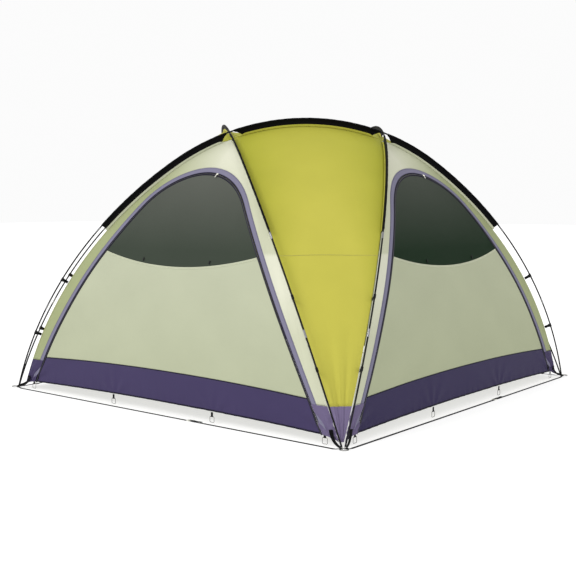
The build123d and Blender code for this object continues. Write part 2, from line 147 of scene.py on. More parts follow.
@dataclass(frozen=True)
class Form:
    """Sizes that the fabric, the poles and the doors share."""

    side: float = 3.5
    rise: float = 2.393
    lean: float = radians(16.2)
    crown_radius: float = 1.852
    crown_angle: float = radians(35.63)
    foot_offset: float = 0.006
    layer_rise: float = 0.008
    seam_drop: float = 0.055
    seam_gap: float = 0.003
    corner_hem: float = 0.066
    skirt_height: float = 0.260
    cross_seam: float = 1.240
    opening: Arch = Arch(1.6, 1.898 - 0.07, 0.75, radians(51.0), 0.07)
    binding_width: float = 0.045
    zip_clearance: float = 0.001
    zip_width: float = 0.011
    hem: Curve = (0.090, 0.066, 1.56)
    skirt: Curve = (0.330, 0.290, 1.43)
    window: Curve = (1.120, 1.240, 0.90)

    @property
    def half_span(self) -> float:
        """From the middle of the shelter to a pole's foot."""
        return self.side / sqrt(2)

    def arch(self, layer: float = 0.0) -> Arch:
        """A pole's arch; layer is 1 for the pair that runs on top, -1 for the other, 0 between."""
        rise = self.rise + layer * self.layer_rise
        return Arch(self.half_span, rise, self.crown_radius, self.crown_angle)

    @property
    def crossing(self) -> float:
        """Slope at which neighbouring poles cross."""
        slopes = np.linspace(0.0, self.crown_angle, 4001)
        v, h = self.arch().point(slopes)
        return float(np.interp(0.0, v - h * sin(self.lean) - self.foot_offset, slopes))

    @property
    def zip_line(self) -> float:
        """From the edge of the opening in to the line where the zip's two halves meet."""
        return self.binding_width + self.zip_clearance

    @property
    def leaf_edge(self) -> float:
        """From the edge of the opening in to the door's cloth."""
        return self.zip_line + self.zip_width

    def seam(
        self, slope: Points | float, drop: float | None = None
    ) -> tuple[Points, Points, Points]:
        """A seam under a pole: distance along the diagonal, distance out from it, and height."""
        v, h = self.arch().point(slope, self.seam_drop if drop is None else drop)
        return v, h * sin(self.lean) + self.foot_offset, h * cos(self.lean)


FORM = Form()


def turned(points: Points, quarter: float) -> Points:
    """Points turned about Z by a number of right angles.

    Args:
        points: whose last axis is x, y, z.
        quarter: how many right angles, anticlockwise from above.

    Returns:
        A turned copy.
    """
    c, s = cos(quarter * pi / 2), sin(quarter * pi / 2)
    out = np.array(points, float)
    x, y = out[..., 0].copy(), out[..., 1].copy()
    out[..., 0], out[..., 1] = c * x - s * y, s * x + c * y
    return out


def unit(vectors: Points) -> Points:
    """Vectors scaled to length 1."""
    return vectors / np.linalg.norm(vectors, axis=-1, keepdims=True)


def shallow(curve: Curve, x: Points) -> Points:
    """Height of a shallow curve given by its heights in the middle and at a reach."""
    middle, edge, reach = curve
    return middle + (edge - middle) * (x / reach) ** 2


class Pole:
    """The line of the pole that bows to the front right corner, and frames along it."""

    def __init__(self, layer: float) -> None:
        """Set up the pole's plane.

        Args:
            layer: as in Form.arch.
        """
        self.arch = FORM.arch(layer)
        self.along = np.array([1.0, 1.0, 0.0]) / sqrt(2)
        self.out = np.array([1.0, -1.0, 0.0]) / sqrt(2)
        self.rise = self.out * sin(FORM.lean) + UP * cos(FORM.lean)
        self.side = np.cross(self.along, self.rise)

    def frames(self, slope: Points, drop: Points | float = 0.0) -> tuple[Points, Points]:
        """Points on the curve that lies inside the pole, and the outward vectors there.

        Args:
            slope: radians from the crown.
            drop: how far inside the pole.

        Returns:
            Points and unit vectors.
        """
        v, h = self.arch.point(slope, drop)
        points = v[..., None] * self.along + h[..., None] * self.rise + self.out * FORM.foot_offset
        outward = np.sin(slope)[..., None] * self.along + np.cos(slope)[..., None] * self.rise
        return points, outward


class Wall:
    """The front wall's surface: level lines hung between two leaning seams, with its folds.

    The folds are a slow billow and a fine ripple over the whole cloth, a pucker along the hem, and
    fans of creases at the pegs and at the corners. Each has its height, and the last three have
    the reach over which they die out.
    """

    BILLOW, RIPPLE = 0.0045, 0.0016
    SAG = 0.004
    EDGE_REACH = 0.25
    PUCKER, PUCKER_REACH = 0.0016, 0.045
    PEG_FAN, PEG_REACH, PEG_HEIGHT = 0.0022, 0.12, 0.05
    CORNER_FAN, CORNER_REACH = 0.0035, 0.35
    CORNER_PLACE = (1.60, 0.07)

    def __init__(self) -> None:
        """Tabulate the surface's reach, half width and normal by height."""
        first, last = FORM.crossing - radians(7), FORM.arch().foot
        v, out, z = FORM.seam(np.linspace(first, last, 600))
        order = np.argsort(z)
        self.z = z[order]
        self.reach = ((v + out) / sqrt(2))[order]
        self.half = ((v - out) / sqrt(2))[order]
        slope = np.gradient(self.reach, self.z)
        self.normal_y = -1 / np.sqrt(1 + slope**2)
        self.normal_z = -slope / np.sqrt(1 + slope**2)

    def half_width(self, z: Points) -> Points:
        """From the middle to the seam, less the seam's gap."""
        return np.interp(z, self.z, self.half) - FORM.seam_gap * sqrt(2)

    def folds(self, x: Points, z: Points) -> Points:
        """Outward displacement of the tensioned cloth.

        Args:
            x: across the wall.
            z: height.

        Returns:
            Distances out of the smooth surface.
        """
        free = np.clip((self.half_width(z) - np.abs(x)) / self.EDGE_REACH, 0, 1)
        billow = self.BILLOW * np.sin(2.1 * x + 1.3) * np.sin(3.3 * z + 0.4)
        ripple = self.RIPPLE * np.sin(7.3 * x + 2.0 * z) * np.sin(5.1 * z - 1.9 * x + 0.8)
        total = (billow + ripple - self.SAG * np.cos(1.1 * x)) * free
        hem = shallow(FORM.hem, x)
        above = np.maximum(z - hem, 0)
        pucker = np.sin(58 * x + 2.5 * np.sin(9 * x)) + 0.6 * np.sin(131 * x + 1.7)
        total += self.PUCKER * pucker * np.exp(-above / self.PUCKER_REACH)
        for peg in PEGS:
            dx, dz = x - peg, z - self.PEG_HEIGHT
            radius = np.sqrt(dx**2 + dz**2)
            angle = np.arctan2(dx, dz)
            ring = np.exp(-(((radius - self.PEG_REACH) / self.PEG_REACH) ** 2))
            total += self.PEG_FAN * np.cos(9 * angle) * ring
        for corner in (-1.0, 1.0):
            dx, dz = x - corner * self.CORNER_PLACE[0], z - self.CORNER_PLACE[1]
            radius = np.sqrt(dx**2 + dz**2)
            angle = np.arctan2(dz, -corner * dx)
            reach = np.exp(-radius / self.CORNER_REACH) * np.clip(radius / 0.1, 0, 1)
            total += self.CORNER_FAN * np.sin(13 * angle) * reach
        return total

    def lift(self, x: Points, z: Points, proud: Points | float = 0.0) -> Points:
        """Points on the wall's outer face.

        Args:
            x: across the wall.
            z: height.
            proud: extra distance outwards.

        Returns:
            Points on the front wall.
        """
        x, z = np.broadcast_arrays(np.asarray(x, float), np.asarray(z, float))
        out = self.folds(x, z) + proud
        y = -np.interp(z, self.z, self.reach) + out * np.interp(z, self.z, self.normal_y)
        return np.stack([x, y, z + out * np.interp(z, self.z, self.normal_z)], -1)

    def normal(self, z: Points) -> Points:
        """Outward normals at heights."""
        ny, nz = np.interp(z, self.z, self.normal_y), np.interp(z, self.z, self.normal_z)
        return np.stack([np.zeros_like(ny), ny, nz], -1)


WALL = Wall()


# ---------------------------------------------------------------- finishes


class Weave(Enum):
    """How a cloth's threads lie: the bump's pattern and its period in metres."""

    TAFFETA = 0.0016
    NETTING = 0.0030
    WEBBING = 0.0025


class Shader:
    """A Principled material under construction."""

    def __init__(self, name: str, roughness: float, metallic: float = 0.0) -> None:
        """Start the material and set its plain values.

        Args:
            name: of the material.
            roughness: of the surface.
            metallic: 1 for metal.
        """
        self.material = bpy.data.materials.new(name)
        self.material.use_nodes = True
        self.tree = self.material.node_tree
        self.surface = self.tree.nodes["Principled BSDF"]
        self.surface.inputs["Roughness"].default_value = roughness
        self.surface.inputs["Metallic"].default_value = metallic

    def node(self, kind: str, **values: object) -> bpy.types.Node:
        """Add a node and set its properties, or its inputs where the key names one.

        Args:
            kind: of node.
            **values: its properties and inputs.

        Returns:
            The node.
        """
        made = self.tree.nodes.new(kind)
        for key, value in values.items():
            if key in made.inputs:
                made.inputs[key].default_value = value
            else:
                setattr(made, key, value)
        return made

    def link(self, source: Socket, target: Socket) -> None:
        """Join two sockets."""
        self.tree.links.new(source, target)

    def coordinates(self, uv: bool) -> Socket:
        """The cloth's own metric UV map, or Object coordinates."""
        if uv:
            return self.node("ShaderNodeUVMap", uv_map="cloth").outputs["UV"]
        return self.node("ShaderNodeTexCoord").outputs["Object"]

    def noise(self, where: Socket, scale: float, detail: float) -> Socket:
        """A noise field of a scale per metre."""
        made = self.node("ShaderNodeTexNoise", Scale=scale, Detail=detail)
        self.link(where, made.inputs["Vector"])
        return made.outputs["Fac"]

    def mix(self, share: Socket, low: Colour, high: Colour) -> Socket:
        """A colour between two, by a share.

        Args:
            share: from 0 to 1.
            low: colour at 0.
            high: colour at 1.

        Returns:
            The colour.
        """
        ramp = self.node("ShaderNodeValToRGB")
        ramp.color_ramp.elements[0].color = (*low, 1)
        ramp.color_ramp.elements[1].color = (*high, 1)
        self.link(share, ramp.inputs["Fac"])
        return ramp.outputs["Color"]

    def multiply(self, colour: Socket, other: Socket) -> Socket:
        """Two colours multiplied.

        Args:
            colour: the first.
            other: the second.

        Returns:
            Their product.
        """
        made = self.node("ShaderNodeMix", data_type="RGBA", blend_type="MULTIPLY")
        made.inputs[0].default_value = 1.0
        self.link(colour, made.inputs[6])
        self.link(other, made.inputs[7])
        return made.outputs[2]

    def bump(
        self, height: Socket, distance: float, strength: float,
        under: Socket | None = None,
    ) -> Socket:
        """A bump, on top of another if one is given.

        Args:
            height: field.
            distance: height of the bumps, in metres.
            strength: share of it that shows.
            under: the bump below it.

        Returns:
            The normal.
        """
        made = self.node("ShaderNodeBump", Distance=distance, Strength=strength)
        self.link(height, made.inputs["Height"])
        if under:
            self.link(under, made.inputs["Normal"])
        return made.outputs["Normal"]


def linear(red: int, green: int, blue: int) -> Colour:
    """Scene-linear colour of an 8-bit screen colour.

    Args:
        red: from 0 to 255.
        green: from 0 to 255.
        blue: from 0 to 255.

    Returns:
        Red, green and blue from 0 to 1.
    """
    values = []
    for channel in (red, green, blue):
        c = channel / 255
        values.append(c / 12.92 if c <= 0.04045 else ((c + 0.055) / 1.055) ** 2.4)
    return tuple(values)


@dataclass(frozen=True)
class ClothFinish:
    """Woven cloth with a fine weave, a soft crinkle, slow random changes of tone, and painted
    shade.

    Args:
        name: of the material.
        colour: main colour.
        second: the painted-shade colour, shown where the piece's `shade` attribute is 1.
        weave: pattern and period of the threads.
        roughness: of the surface.
        sheen: of the fibres.
        crinkle: height of the crinkles, in metres.
        mottle: share by which the tone changes at random over the cloth.
        gloss: specular level of the surface.
        uv: whether the piece has its own metric UV map; otherwise Object coordinates serve.
    """

    name: str
    colour: Colour
    second: Colour
    weave: Weave = Weave.TAFFETA
    roughness: float = 0.62
    sheen: float = 0.05
    crinkle: float = 0.0012
    mottle: float = 0.07
    gloss: float = 0.06
    uv: bool = True

    def build(self) -> Material:
        """Make the material.

        Returns:
            The material.
        """
        shader = Shader(self.name, self.roughness)
        surface = shader.surface
        surface.inputs["Sheen Weight"].default_value = self.sheen
        surface.inputs["Sheen Roughness"].default_value = 0.4
        surface.inputs["Specular IOR Level"].default_value = self.gloss
        where = shader.coordinates(self.uv)
        # Painted shade: each piece's shade attribute mixes the main colour towards the shaded
        # second colour.
        shade = shader.node("ShaderNodeAttribute", attribute_name="shade").outputs["Fac"]
        colour = shader.mix(shade, self.colour, self.second)
        dark = tuple(1 - 2 * self.mottle for _ in range(3))
        slow = shader.mix(shader.noise(where, 2.3, 3), dark, (1.0, 1.0, 1.0))
        colour = shader.multiply(colour, slow)
        threads = self.threads(shader, where)
        grain = tuple(0.90 for _ in range(3))
        colour = shader.multiply(colour, shader.mix(threads, grain, (1.0, 1.0, 1.0)))
        shader.link(colour, surface.inputs["Base Color"])
        weave = shader.bump(threads, self.weave.value * 0.25, 0.5)
        fine = shader.bump(shader.noise(where, 26, 4), self.crinkle, 0.6, weave)
        broad = shader.bump(shader.noise(where, 5.5, 2), self.crinkle * 4, 0.6, fine)
        shader.link(broad, surface.inputs["Normal"])
        return shader.material

    def threads(self, shader: Shader, where: Socket) -> Socket:
        """Height of the weave: two sets of bands, crossed.

        Args:
            shader: under construction.
            where: the coordinates to read.

        Returns:
            The height field.
        """
        bands = []
        for direction in ("X", "Y"):
            wave = shader.node(
                "ShaderNodeTexWave", wave_type="BANDS", bands_direction=direction,
                Scale=pi / 10 / self.weave.value,
            )
            shader.link(where, wave.inputs["Vector"])
            bands.append(wave.outputs["Fac"])
        operation = "MINIMUM" if self.weave is Weave.NETTING else "MULTIPLY"
        both = shader.node("ShaderNodeMath", operation=operation)
        shader.link(bands[0], both.inputs[0])
        shader.link(bands[1], both.inputs[1])
        return both.outputs[0]


@dataclass(frozen=True)
class HardFinish:
    """Moulded plastic, glass fibre tube or metal, with fine scratches or grain.

    Args:
        name: of the material.
        colour: main colour.
        roughness: of the surface.
        metallic: 1 for metal.
        grain: scale of the grain, per metre.
        depth: height of the grain, in metres.
        gloss: specular level of the surface.
    """

    name: str
    colour: Colour
    roughness: float
    metallic: float = 0.0
    grain: float = 300.0
    depth: float = 0.0001
    gloss: float = 0.5

    def build(self) -> Material:
        """Make the material.

        Returns:
            The material.
        """
        shader = Shader(self.name, self.roughness, self.metallic)
        shader.surface.inputs["Specular IOR Level"].default_value = self.gloss
        where = shader.coordinates(uv=False)
        worn = tuple(min(1.0, 1.5 * c + 0.01) for c in self.colour)
        patch = shader.noise(where, self.grain / 12, 5)
        shader.link(shader.mix(patch, self.colour, worn), shader.surface.inputs["Base Color"])
        grain = shader.noise(where, self.grain, 3)
        shader.link(shader.bump(grain, self.depth, 0.5), shader.surface.inputs["Normal"])
        return shader.material


LIME = linear(194, 188, 80)
# Painted shade: the lime as it looks in shade, on the roof and the gussets' edges and tops.
LIME_SHADED = linear(166, 166, 52)
CREAM = linear(224, 224, 205)
# Painted shade: the cream walls as they look in shade and where the dark inside shows through.
CREAM_SHADED = linear(160, 167, 124)
SAGE = linear(183, 187, 162)
# Painted shade: the sage door panels in shade.
SAGE_SHADED = linear(168, 174, 140)
NAVY = linear(66, 58, 92)
# Painted shade: the navy door skirts in shade.
NAVY_SHADED = linear(50, 44, 76)
LAVENDER = linear(128, 116, 150)
BAND = linear(124, 121, 143)
BAND_EDGE = linear(24, 22, 38)
NET = linear(86, 89, 82)
# Painted shade: the window net where the dark inside shows through it and where it is in shade.
NET_SHADED = linear(14, 38, 17)
BLACK = linear(9, 9, 11)


class Finishes:
    """Every material of the shelter, made once."""

    def __init__(self) -> None:
        """Make the materials."""
        self.lime = ClothFinish("lime_taffeta", LIME, LIME_SHADED).build()
        self.cream = ClothFinish("cream_taffeta", CREAM, CREAM_SHADED).build()
        self.sage = ClothFinish("sage_taffeta", SAGE, SAGE_SHADED).build()
        self.navy = ClothFinish("navy_skirt", NAVY, NAVY_SHADED, roughness=0.55).build()
        # Painted shade: the lavender skirts turn navy where their shade attribute is 1.
        self.lavender = ClothFinish(
            "lavender_skirt", LAVENDER, NAVY, crinkle=0.002, mottle=0.12
        ).build()
        self.band = ClothFinish("lavender_binding", BAND, BAND_EDGE, mottle=0.05).build()
        net = ClothFinish("window_net", NET, NET_SHADED, Weave.NETTING, 0.6, 0.02, crinkle=0.0006)
        self.net = net.build()
        self.sleeve = ClothFinish("black_sleeve", BLACK, BLACK, sheen=0.02, crinkle=0.002).build()
        self.webbing = ClothFinish(
            "black_webbing", BLACK, NAVY_SHADED, Weave.WEBBING, 0.7, 0.05, crinkle=0.0003
        ).build()
        self.strap = ClothFinish(
            "strap_webbing", BLACK, BLACK, Weave.WEBBING, 0.7, 0.05, crinkle=0.0003, uv=False
        ).build()
        self.tape = ClothFinish(
            "zip_tape", linear(30, 28, 44), BLACK, Weave.WEBBING, 0.6, 0.05, crinkle=0.0002
        ).build()
        self.pole = HardFinish(
            "glass_fibre", linear(10, 10, 13), 0.45, grain=500, gloss=0.1
        ).build()
        self.plastic = HardFinish("moulded_plastic", linear(12, 12, 14), 0.5, gloss=0.15).build()
        self.steel = HardFinish("galvanised_steel", linear(120, 120, 117), 0.38, 1.0, 200).build()
        self.ferrule = HardFinish("drawn_steel", linear(120, 120, 124), 0.30, 1.0, 600).build()
        self.bright = HardFinish("plated_slider", linear(225, 222, 205), 0.22, 1.0, 300).build()
        self.elastic = HardFinish("elastic_cord", linear(200, 200, 200), 0.8).build()
        self.thread_light = HardFinish("pale_thread", linear(196, 198, 176), 0.8).build()
        self.thread_dark = HardFinish("dark_thread", linear(60, 55, 82), 0.8).build()
        self.toggle = HardFinish("pale_toggle", linear(205, 205, 195), 0.5).build()
        self.teeth = HardFinish("zip_coil", linear(30, 28, 38), 0.35).build()


# ---------------------------------------------------------------- meshes


def add_object(name: str, mesh: bpy.types.Mesh, material: Material) -> Object:
    """Put a mesh in the scene with one material, smoothly shaded.

    Args:
        name: of the object.
        mesh: to put in it.
        material: for all its faces.

    Returns:
        The object.
    """
    mesh.materials.clear()
    mesh.materials.append(material)
    mesh.polygons.foreach_set("use_smooth", np.ones(len(mesh.polygons), bool))
    made = bpy.data.objects.new(name, mesh)
    bpy.context.scene.collection.objects.link(made)
    return made


def cloth_mesh(
    name: str, points: Points, faces: list[list[int]], uv: Points, shade: Points
) -> bpy.types.Mesh:
    """A mesh with a metric UV map and a shade attribute.

    Args:
        name: of the mesh.
        points: one row to a point.
        faces: the points' numbers, face by face.
        uv: one row to a point, in metres.
        shade: one value to a point.

    Returns:
        The mesh.
    """
    mesh = bpy.data.meshes.new(name)
    mesh.from_pydata(points.tolist(), [], faces)
    corners = np.zeros(len(mesh.loops), int)
    mesh.loops.foreach_get("vertex_index", corners)
    mesh.uv_layers.new(name="cloth").data.foreach_set("uv", uv[corners].ravel())
    attribute = mesh.attributes.new("shade", "FLOAT", "POINT")
    attribute.data.foreach_set("value", shade.astype(np.float32))
    mesh.validate()
    return mesh


def faces_away(points: Points, quads: Points, centre: Points) -> bool:
    """Whether faces point away from a centre, by their sum.

    Args:
        points: one row to a point.
        quads: four of the points' numbers to a face.
        centre: one point, or one to each face.

    Returns:
        True where they point away.
    """
    a, b, d = points[quads[:, 0]], points[quads[:, 1]], points[quads[:, 3]]
    return bool(((points[quads].mean(1) - centre) * np.cross(b - a, d - a)).sum() >= 0)


def grid_mesh(name: str, grid: Points, shade: Points | float = 0.0) -> bpy.types.Mesh:
    """A quad mesh of a grid of points, with metric UVs and a shade attribute.

    Args:
        name: of the mesh.
        grid: rows by columns by 3.
        shade: rows by columns, from 0 to 1.

    Returns:
        The mesh, with its faces pointing away from the shelter's middle.
    """
    rows, columns = grid.shape[:2]
    index = np.arange(rows * columns).reshape(rows, columns)
    quads = np.stack([index[:-1, :-1], index[:-1, 1:], index[1:, 1:], index[1:, :-1]], -1)
    quads = quads.reshape(-1, 4)
    across = np.linalg.norm(np.diff(grid, axis=1), axis=2)
    along = np.linalg.norm(np.diff(grid, axis=0), axis=2)
    u = np.concatenate([np.zeros((rows, 1)), np.cumsum(across, 1)], 1)
    u -= u[:, columns // 2][:, None]
    v = np.concatenate([np.zeros((1, columns)), np.cumsum(along, 0)], 0)
    flat = grid.reshape(-1, 3)
    if not faces_away(flat, quads, MIDDLE):
        quads = quads[:, ::-1]
    uv = np.stack([u.ravel(), v.ravel()], -1)
    values = np.broadcast_to(shade, (rows, columns)).astype(float).ravel()
    return cloth_mesh(name, flat, quads.tolist(), uv, values)


def tube_mesh(name: str, loops: Points) -> bpy.types.Mesh:
    """A closed tube through loops of points, capped at both ends, with metric UVs.

    Args:
        name: of the mesh.
        loops: stations by points of a loop by 3.

    Returns:
        The mesh, with its faces pointing out of the tube.
    """
    stations, count = loops.shape[:2]
    index = np.arange(stations * count).reshape(stations, count)
    after = np.roll(index, -1, 1)
    quads = np.stack([index[:-1], after[:-1], after[1:], index[1:]], -1).reshape(-1, 4)
    flat = loops.reshape(-1, 3)
    faces = quads.tolist() + [index[0][::-1].tolist(), index[-1].tolist()]
    if not faces_away(flat, quads, loops.mean(1)[:-1].repeat(count, 0)):
        faces = [face[::-1] for face in faces]
    steps = np.linalg.norm(np.diff(loops.mean(1), axis=0), axis=1)
    length = np.concatenate([[0], np.cumsum(steps)]).repeat(count)
    round_steps = np.linalg.norm(np.diff(loops[0], axis=0), axis=1)
    girth = np.tile(np.concatenate([[0], np.cumsum(round_steps)]), stations)
    return cloth_mesh(name, flat, faces, np.stack([length, girth], -1), np.zeros(len(flat)))


def join(name: str, parts: list[Object]) -> Object:
    """One object of several.

    Args:
        name: of the joined object.
        parts: to join; the first takes in the rest.

    Returns:
        The joined object.
    """
    with bpy.context.temp_override(active_object=parts[0], selected_editable_objects=parts):
        bpy.ops.object.join()
    parts[0].name = name
    parts[0].data.name = name
    return parts[0]


def solidify(piece: Object, thickness: float) -> Object:
    """Give a sheet its thickness, inwards from its face.

    Args:
        piece: the sheet.
        thickness: of the cloth.

    Returns:
        The same piece.
    """
    modifier = piece.modifiers.new("thickness", "SOLIDIFY")
    modifier.thickness = thickness
    modifier.offset = -1
    return piece


NESTING = 0.4
"""Least share of the laid-out cloth that a narrow, curved cut fills once its lengths are nested."""


class Held(Enum):
    """How a cloth hangs."""

    STRETCHED = "stretched"
    HUNG = "hung"


def declare(piece: Object, grids: list[Points]) -> None:
    """Log a cloth's flat size: the width and length of its cuts, measured along their grids, and
    their area.

    Args:
        piece: the cloth.
        grids: its cuts, each rows by columns by 3.
    """
    width = length = area = 0.0
    for grid in grids:
        width = max(width, float(np.linalg.norm(np.diff(grid, axis=1), axis=2).sum(1).max()))
        length += float(np.linalg.norm(np.diff(grid, axis=0), axis=2).sum(0).max())
        first, second = grid[1:, 1:] - grid[:-1, :-1], grid[1:, :-1] - grid[:-1, 1:]
        area += float(np.linalg.norm(np.cross(first, second), axis=2).sum() / 2)
    length = min(length, area / (NESTING * width))
    LOG.info("%s: %.3f x %.3f m, %.3f m2", piece.name, width, length, area)


def tie(piece: Object, body: str, node: str | None = None) -> None:
    """Tie a piece to its body, hide the CAD node it replaces, and report it.

    Args:
        piece: the finished piece.
        body: it rides on.
        node: the CAD node it replaces, if any.
    """
    if node:
        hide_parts(node)
    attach(piece, body)
    LOG.info("%s rides %s", piece.name, body)


def ribbon(
    name: str, path: Points, side: Points, up: Points, width: Points | float, thickness: float,
    material: Material,
) -> Object:
    """A flat tape with rounded edges along a path.

    Args:
        name: of the object.
        path: its middle line.
        side: unit vectors across it.
        up: unit vectors out of its face.
        width: across.
        thickness: through.
        material: of the tape.

    Returns:
        The tape.
    """
    half = np.broadcast_to(np.asarray(width, float) / 2, len(path))[:, None]
    t = thickness / 2
    ends = np.array([-1, -1, -0.9, 0, 0.9, 1, 1, 0.9, 0, -0.9])
    heights = np.array([-0.4, 0.4, 1, 1, 1, 0.4, -0.4, -1, -1, -1]) * t
    across = half * ends[None, :]
    side, up = np.broadcast_to(side, path.shape), np.broadcast_to(up, path.shape)
    loops = path[:, None] + across[..., None] * side[:, None] + heights[None, :, None] * up[:, None]
    return add_object(name, tube_mesh(name, loops), material)


# ---------------------------------------------------------------- repeats


@dataclass(frozen=True)
class Repeat:
    """A small block that repeats along lines, such as a stitch or a zip's tooth.

    Args:
        name: of the node tree.
        spacing: from one to the next.
        length: of a block, along the line.
        width: across the line.
        height: out of the cloth.
    """

    SIZES: ClassVar[tuple[str, ...]] = ("Spacing", "Length", "Width", "Height")

    name: str
    spacing: float
    length: float
    width: float
    height: float

    def tree(self, material: Material) -> bpy.types.NodeTree:
        """Make the Geometry Nodes tree that sets the blocks along the input's edges.

        Args:
            material: of the blocks.

        Returns:
            The tree.
        """
        tree = bpy.data.node_groups.new(self.name, "GeometryNodeTree")
        tree.interface.new_socket("Lines", in_out="INPUT", socket_type="NodeSocketGeometry")
        for label in self.SIZES:
            tree.interface.new_socket(label, in_out="INPUT", socket_type="NodeSocketFloat")
        tree.interface.new_socket("Blocks", in_out="OUTPUT", socket_type="NodeSocketGeometry")
        add, link = tree.nodes.new, tree.links.new
        start, end = add("NodeGroupInput"), add("NodeGroupOutput")
        curve, resample = add("GeometryNodeMeshToCurve"), add("GeometryNodeResampleCurve")
        resample.mode = "LENGTH"
        size, block = add("ShaderNodeCombineXYZ"), add("GeometryNodeMeshCube")
        place = add("GeometryNodeInstanceOnPoints")
        tangent = add("GeometryNodeInputTangent")
        up = add("GeometryNodeInputNamedAttribute")
        up.data_type = "FLOAT_VECTOR"
        up.inputs["Name"].default_value = "up"
        face, turn = (add("FunctionNodeAlignRotationToVector") for _ in range(2))
        face.axis, turn.axis, turn.pivot_axis = "X", "Z", "X"
        real, paint = add("GeometryNodeRealizeInstances"), add("GeometryNodeSetMaterial")
        paint.inputs["Material"].default_value = material
        link(start.outputs["Lines"], curve.inputs["Mesh"])
        link(curve.outputs["Curve"], resample.inputs["Curve"])
        link(start.outputs["Spacing"], resample.inputs["Length"])
        for axis, label in zip("XYZ", ("Length", "Width", "Height")):
            link(start.outputs[label], size.inputs[axis])
        link(size.outputs["Vector"], block.inputs["Size"])
        link(resample.outputs["Curve"], place.inputs["Points"])
        link(block.outputs["Mesh"], place.inputs["Instance"])
        link(tangent.outputs["Tangent"], face.inputs["Vector"])
        link(face.outputs["Rotation"], turn.inputs["Rotation"])
        link(up.outputs["Attribute"], turn.inputs["Vector"])
        link(turn.outputs["Rotation"], place.inputs["Rotation"])
        link(place.outputs["Instances"], real.inputs["Geometry"])
        link(real.outputs["Geometry"], paint.inputs["Geometry"])
        link(paint.outputs["Geometry"], end.inputs["Blocks"])
        return tree

    def along(
        self, name: str, lines: list[tuple[Points, Points]], material: Material
    ) -> Object:
        """Blocks along lines, as one plain mesh.

        Args:
            name: of the object.
            lines: each a path and its outward vectors.
            material: of the blocks.

        Returns:
            The blocks.
        """
        points, edges, ups = [], [], []
        for path, up in lines:
            first = sum(len(p) for p in points)
            points.append(path)
            ups.append(np.broadcast_to(up, path.shape))
            edges += [(first + i, first + i + 1) for i in range(len(path) - 1)]
        mesh = bpy.data.meshes.new(name)
        mesh.from_pydata(np.concatenate(points).tolist(), edges, [])
        attribute = mesh.attributes.new("up", "FLOAT_VECTOR", "POINT")
        attribute.data.foreach_set("vector", np.concatenate(ups).astype(np.float32).ravel())
        source = bpy.data.objects.new(name, mesh)
        bpy.context.scene.collection.objects.link(source)
        modifier = source.modifiers.new("repeat", "NODES")
        modifier.node_group = self.tree(material)
        for item in modifier.node_group.interface.items_tree:
            if item.name in self.SIZES:
                modifier[item.identifier] = getattr(self, item.name.lower())
        graph = bpy.context.evaluated_depsgraph_get()
        plain = bpy.data.meshes.new_from_object(source.evaluated_get(graph), depsgraph=graph)
        bpy.data.objects.remove(source)
        made = bpy.data.objects.new(name, plain)
        bpy.context.scene.collection.objects.link(made)
        return made


STITCH = Repeat("stitches", 0.009, 0.0060, 0.0014, 0.0012)
TOGGLE = Repeat("toggles", 0.70, 0.010, 0.026, 0.006)
TOOTH = Repeat("zip_teeth", 0.005, 0.0030, 0.0075, 0.0026)


# ---------------------------------------------------------------- roof and gussets


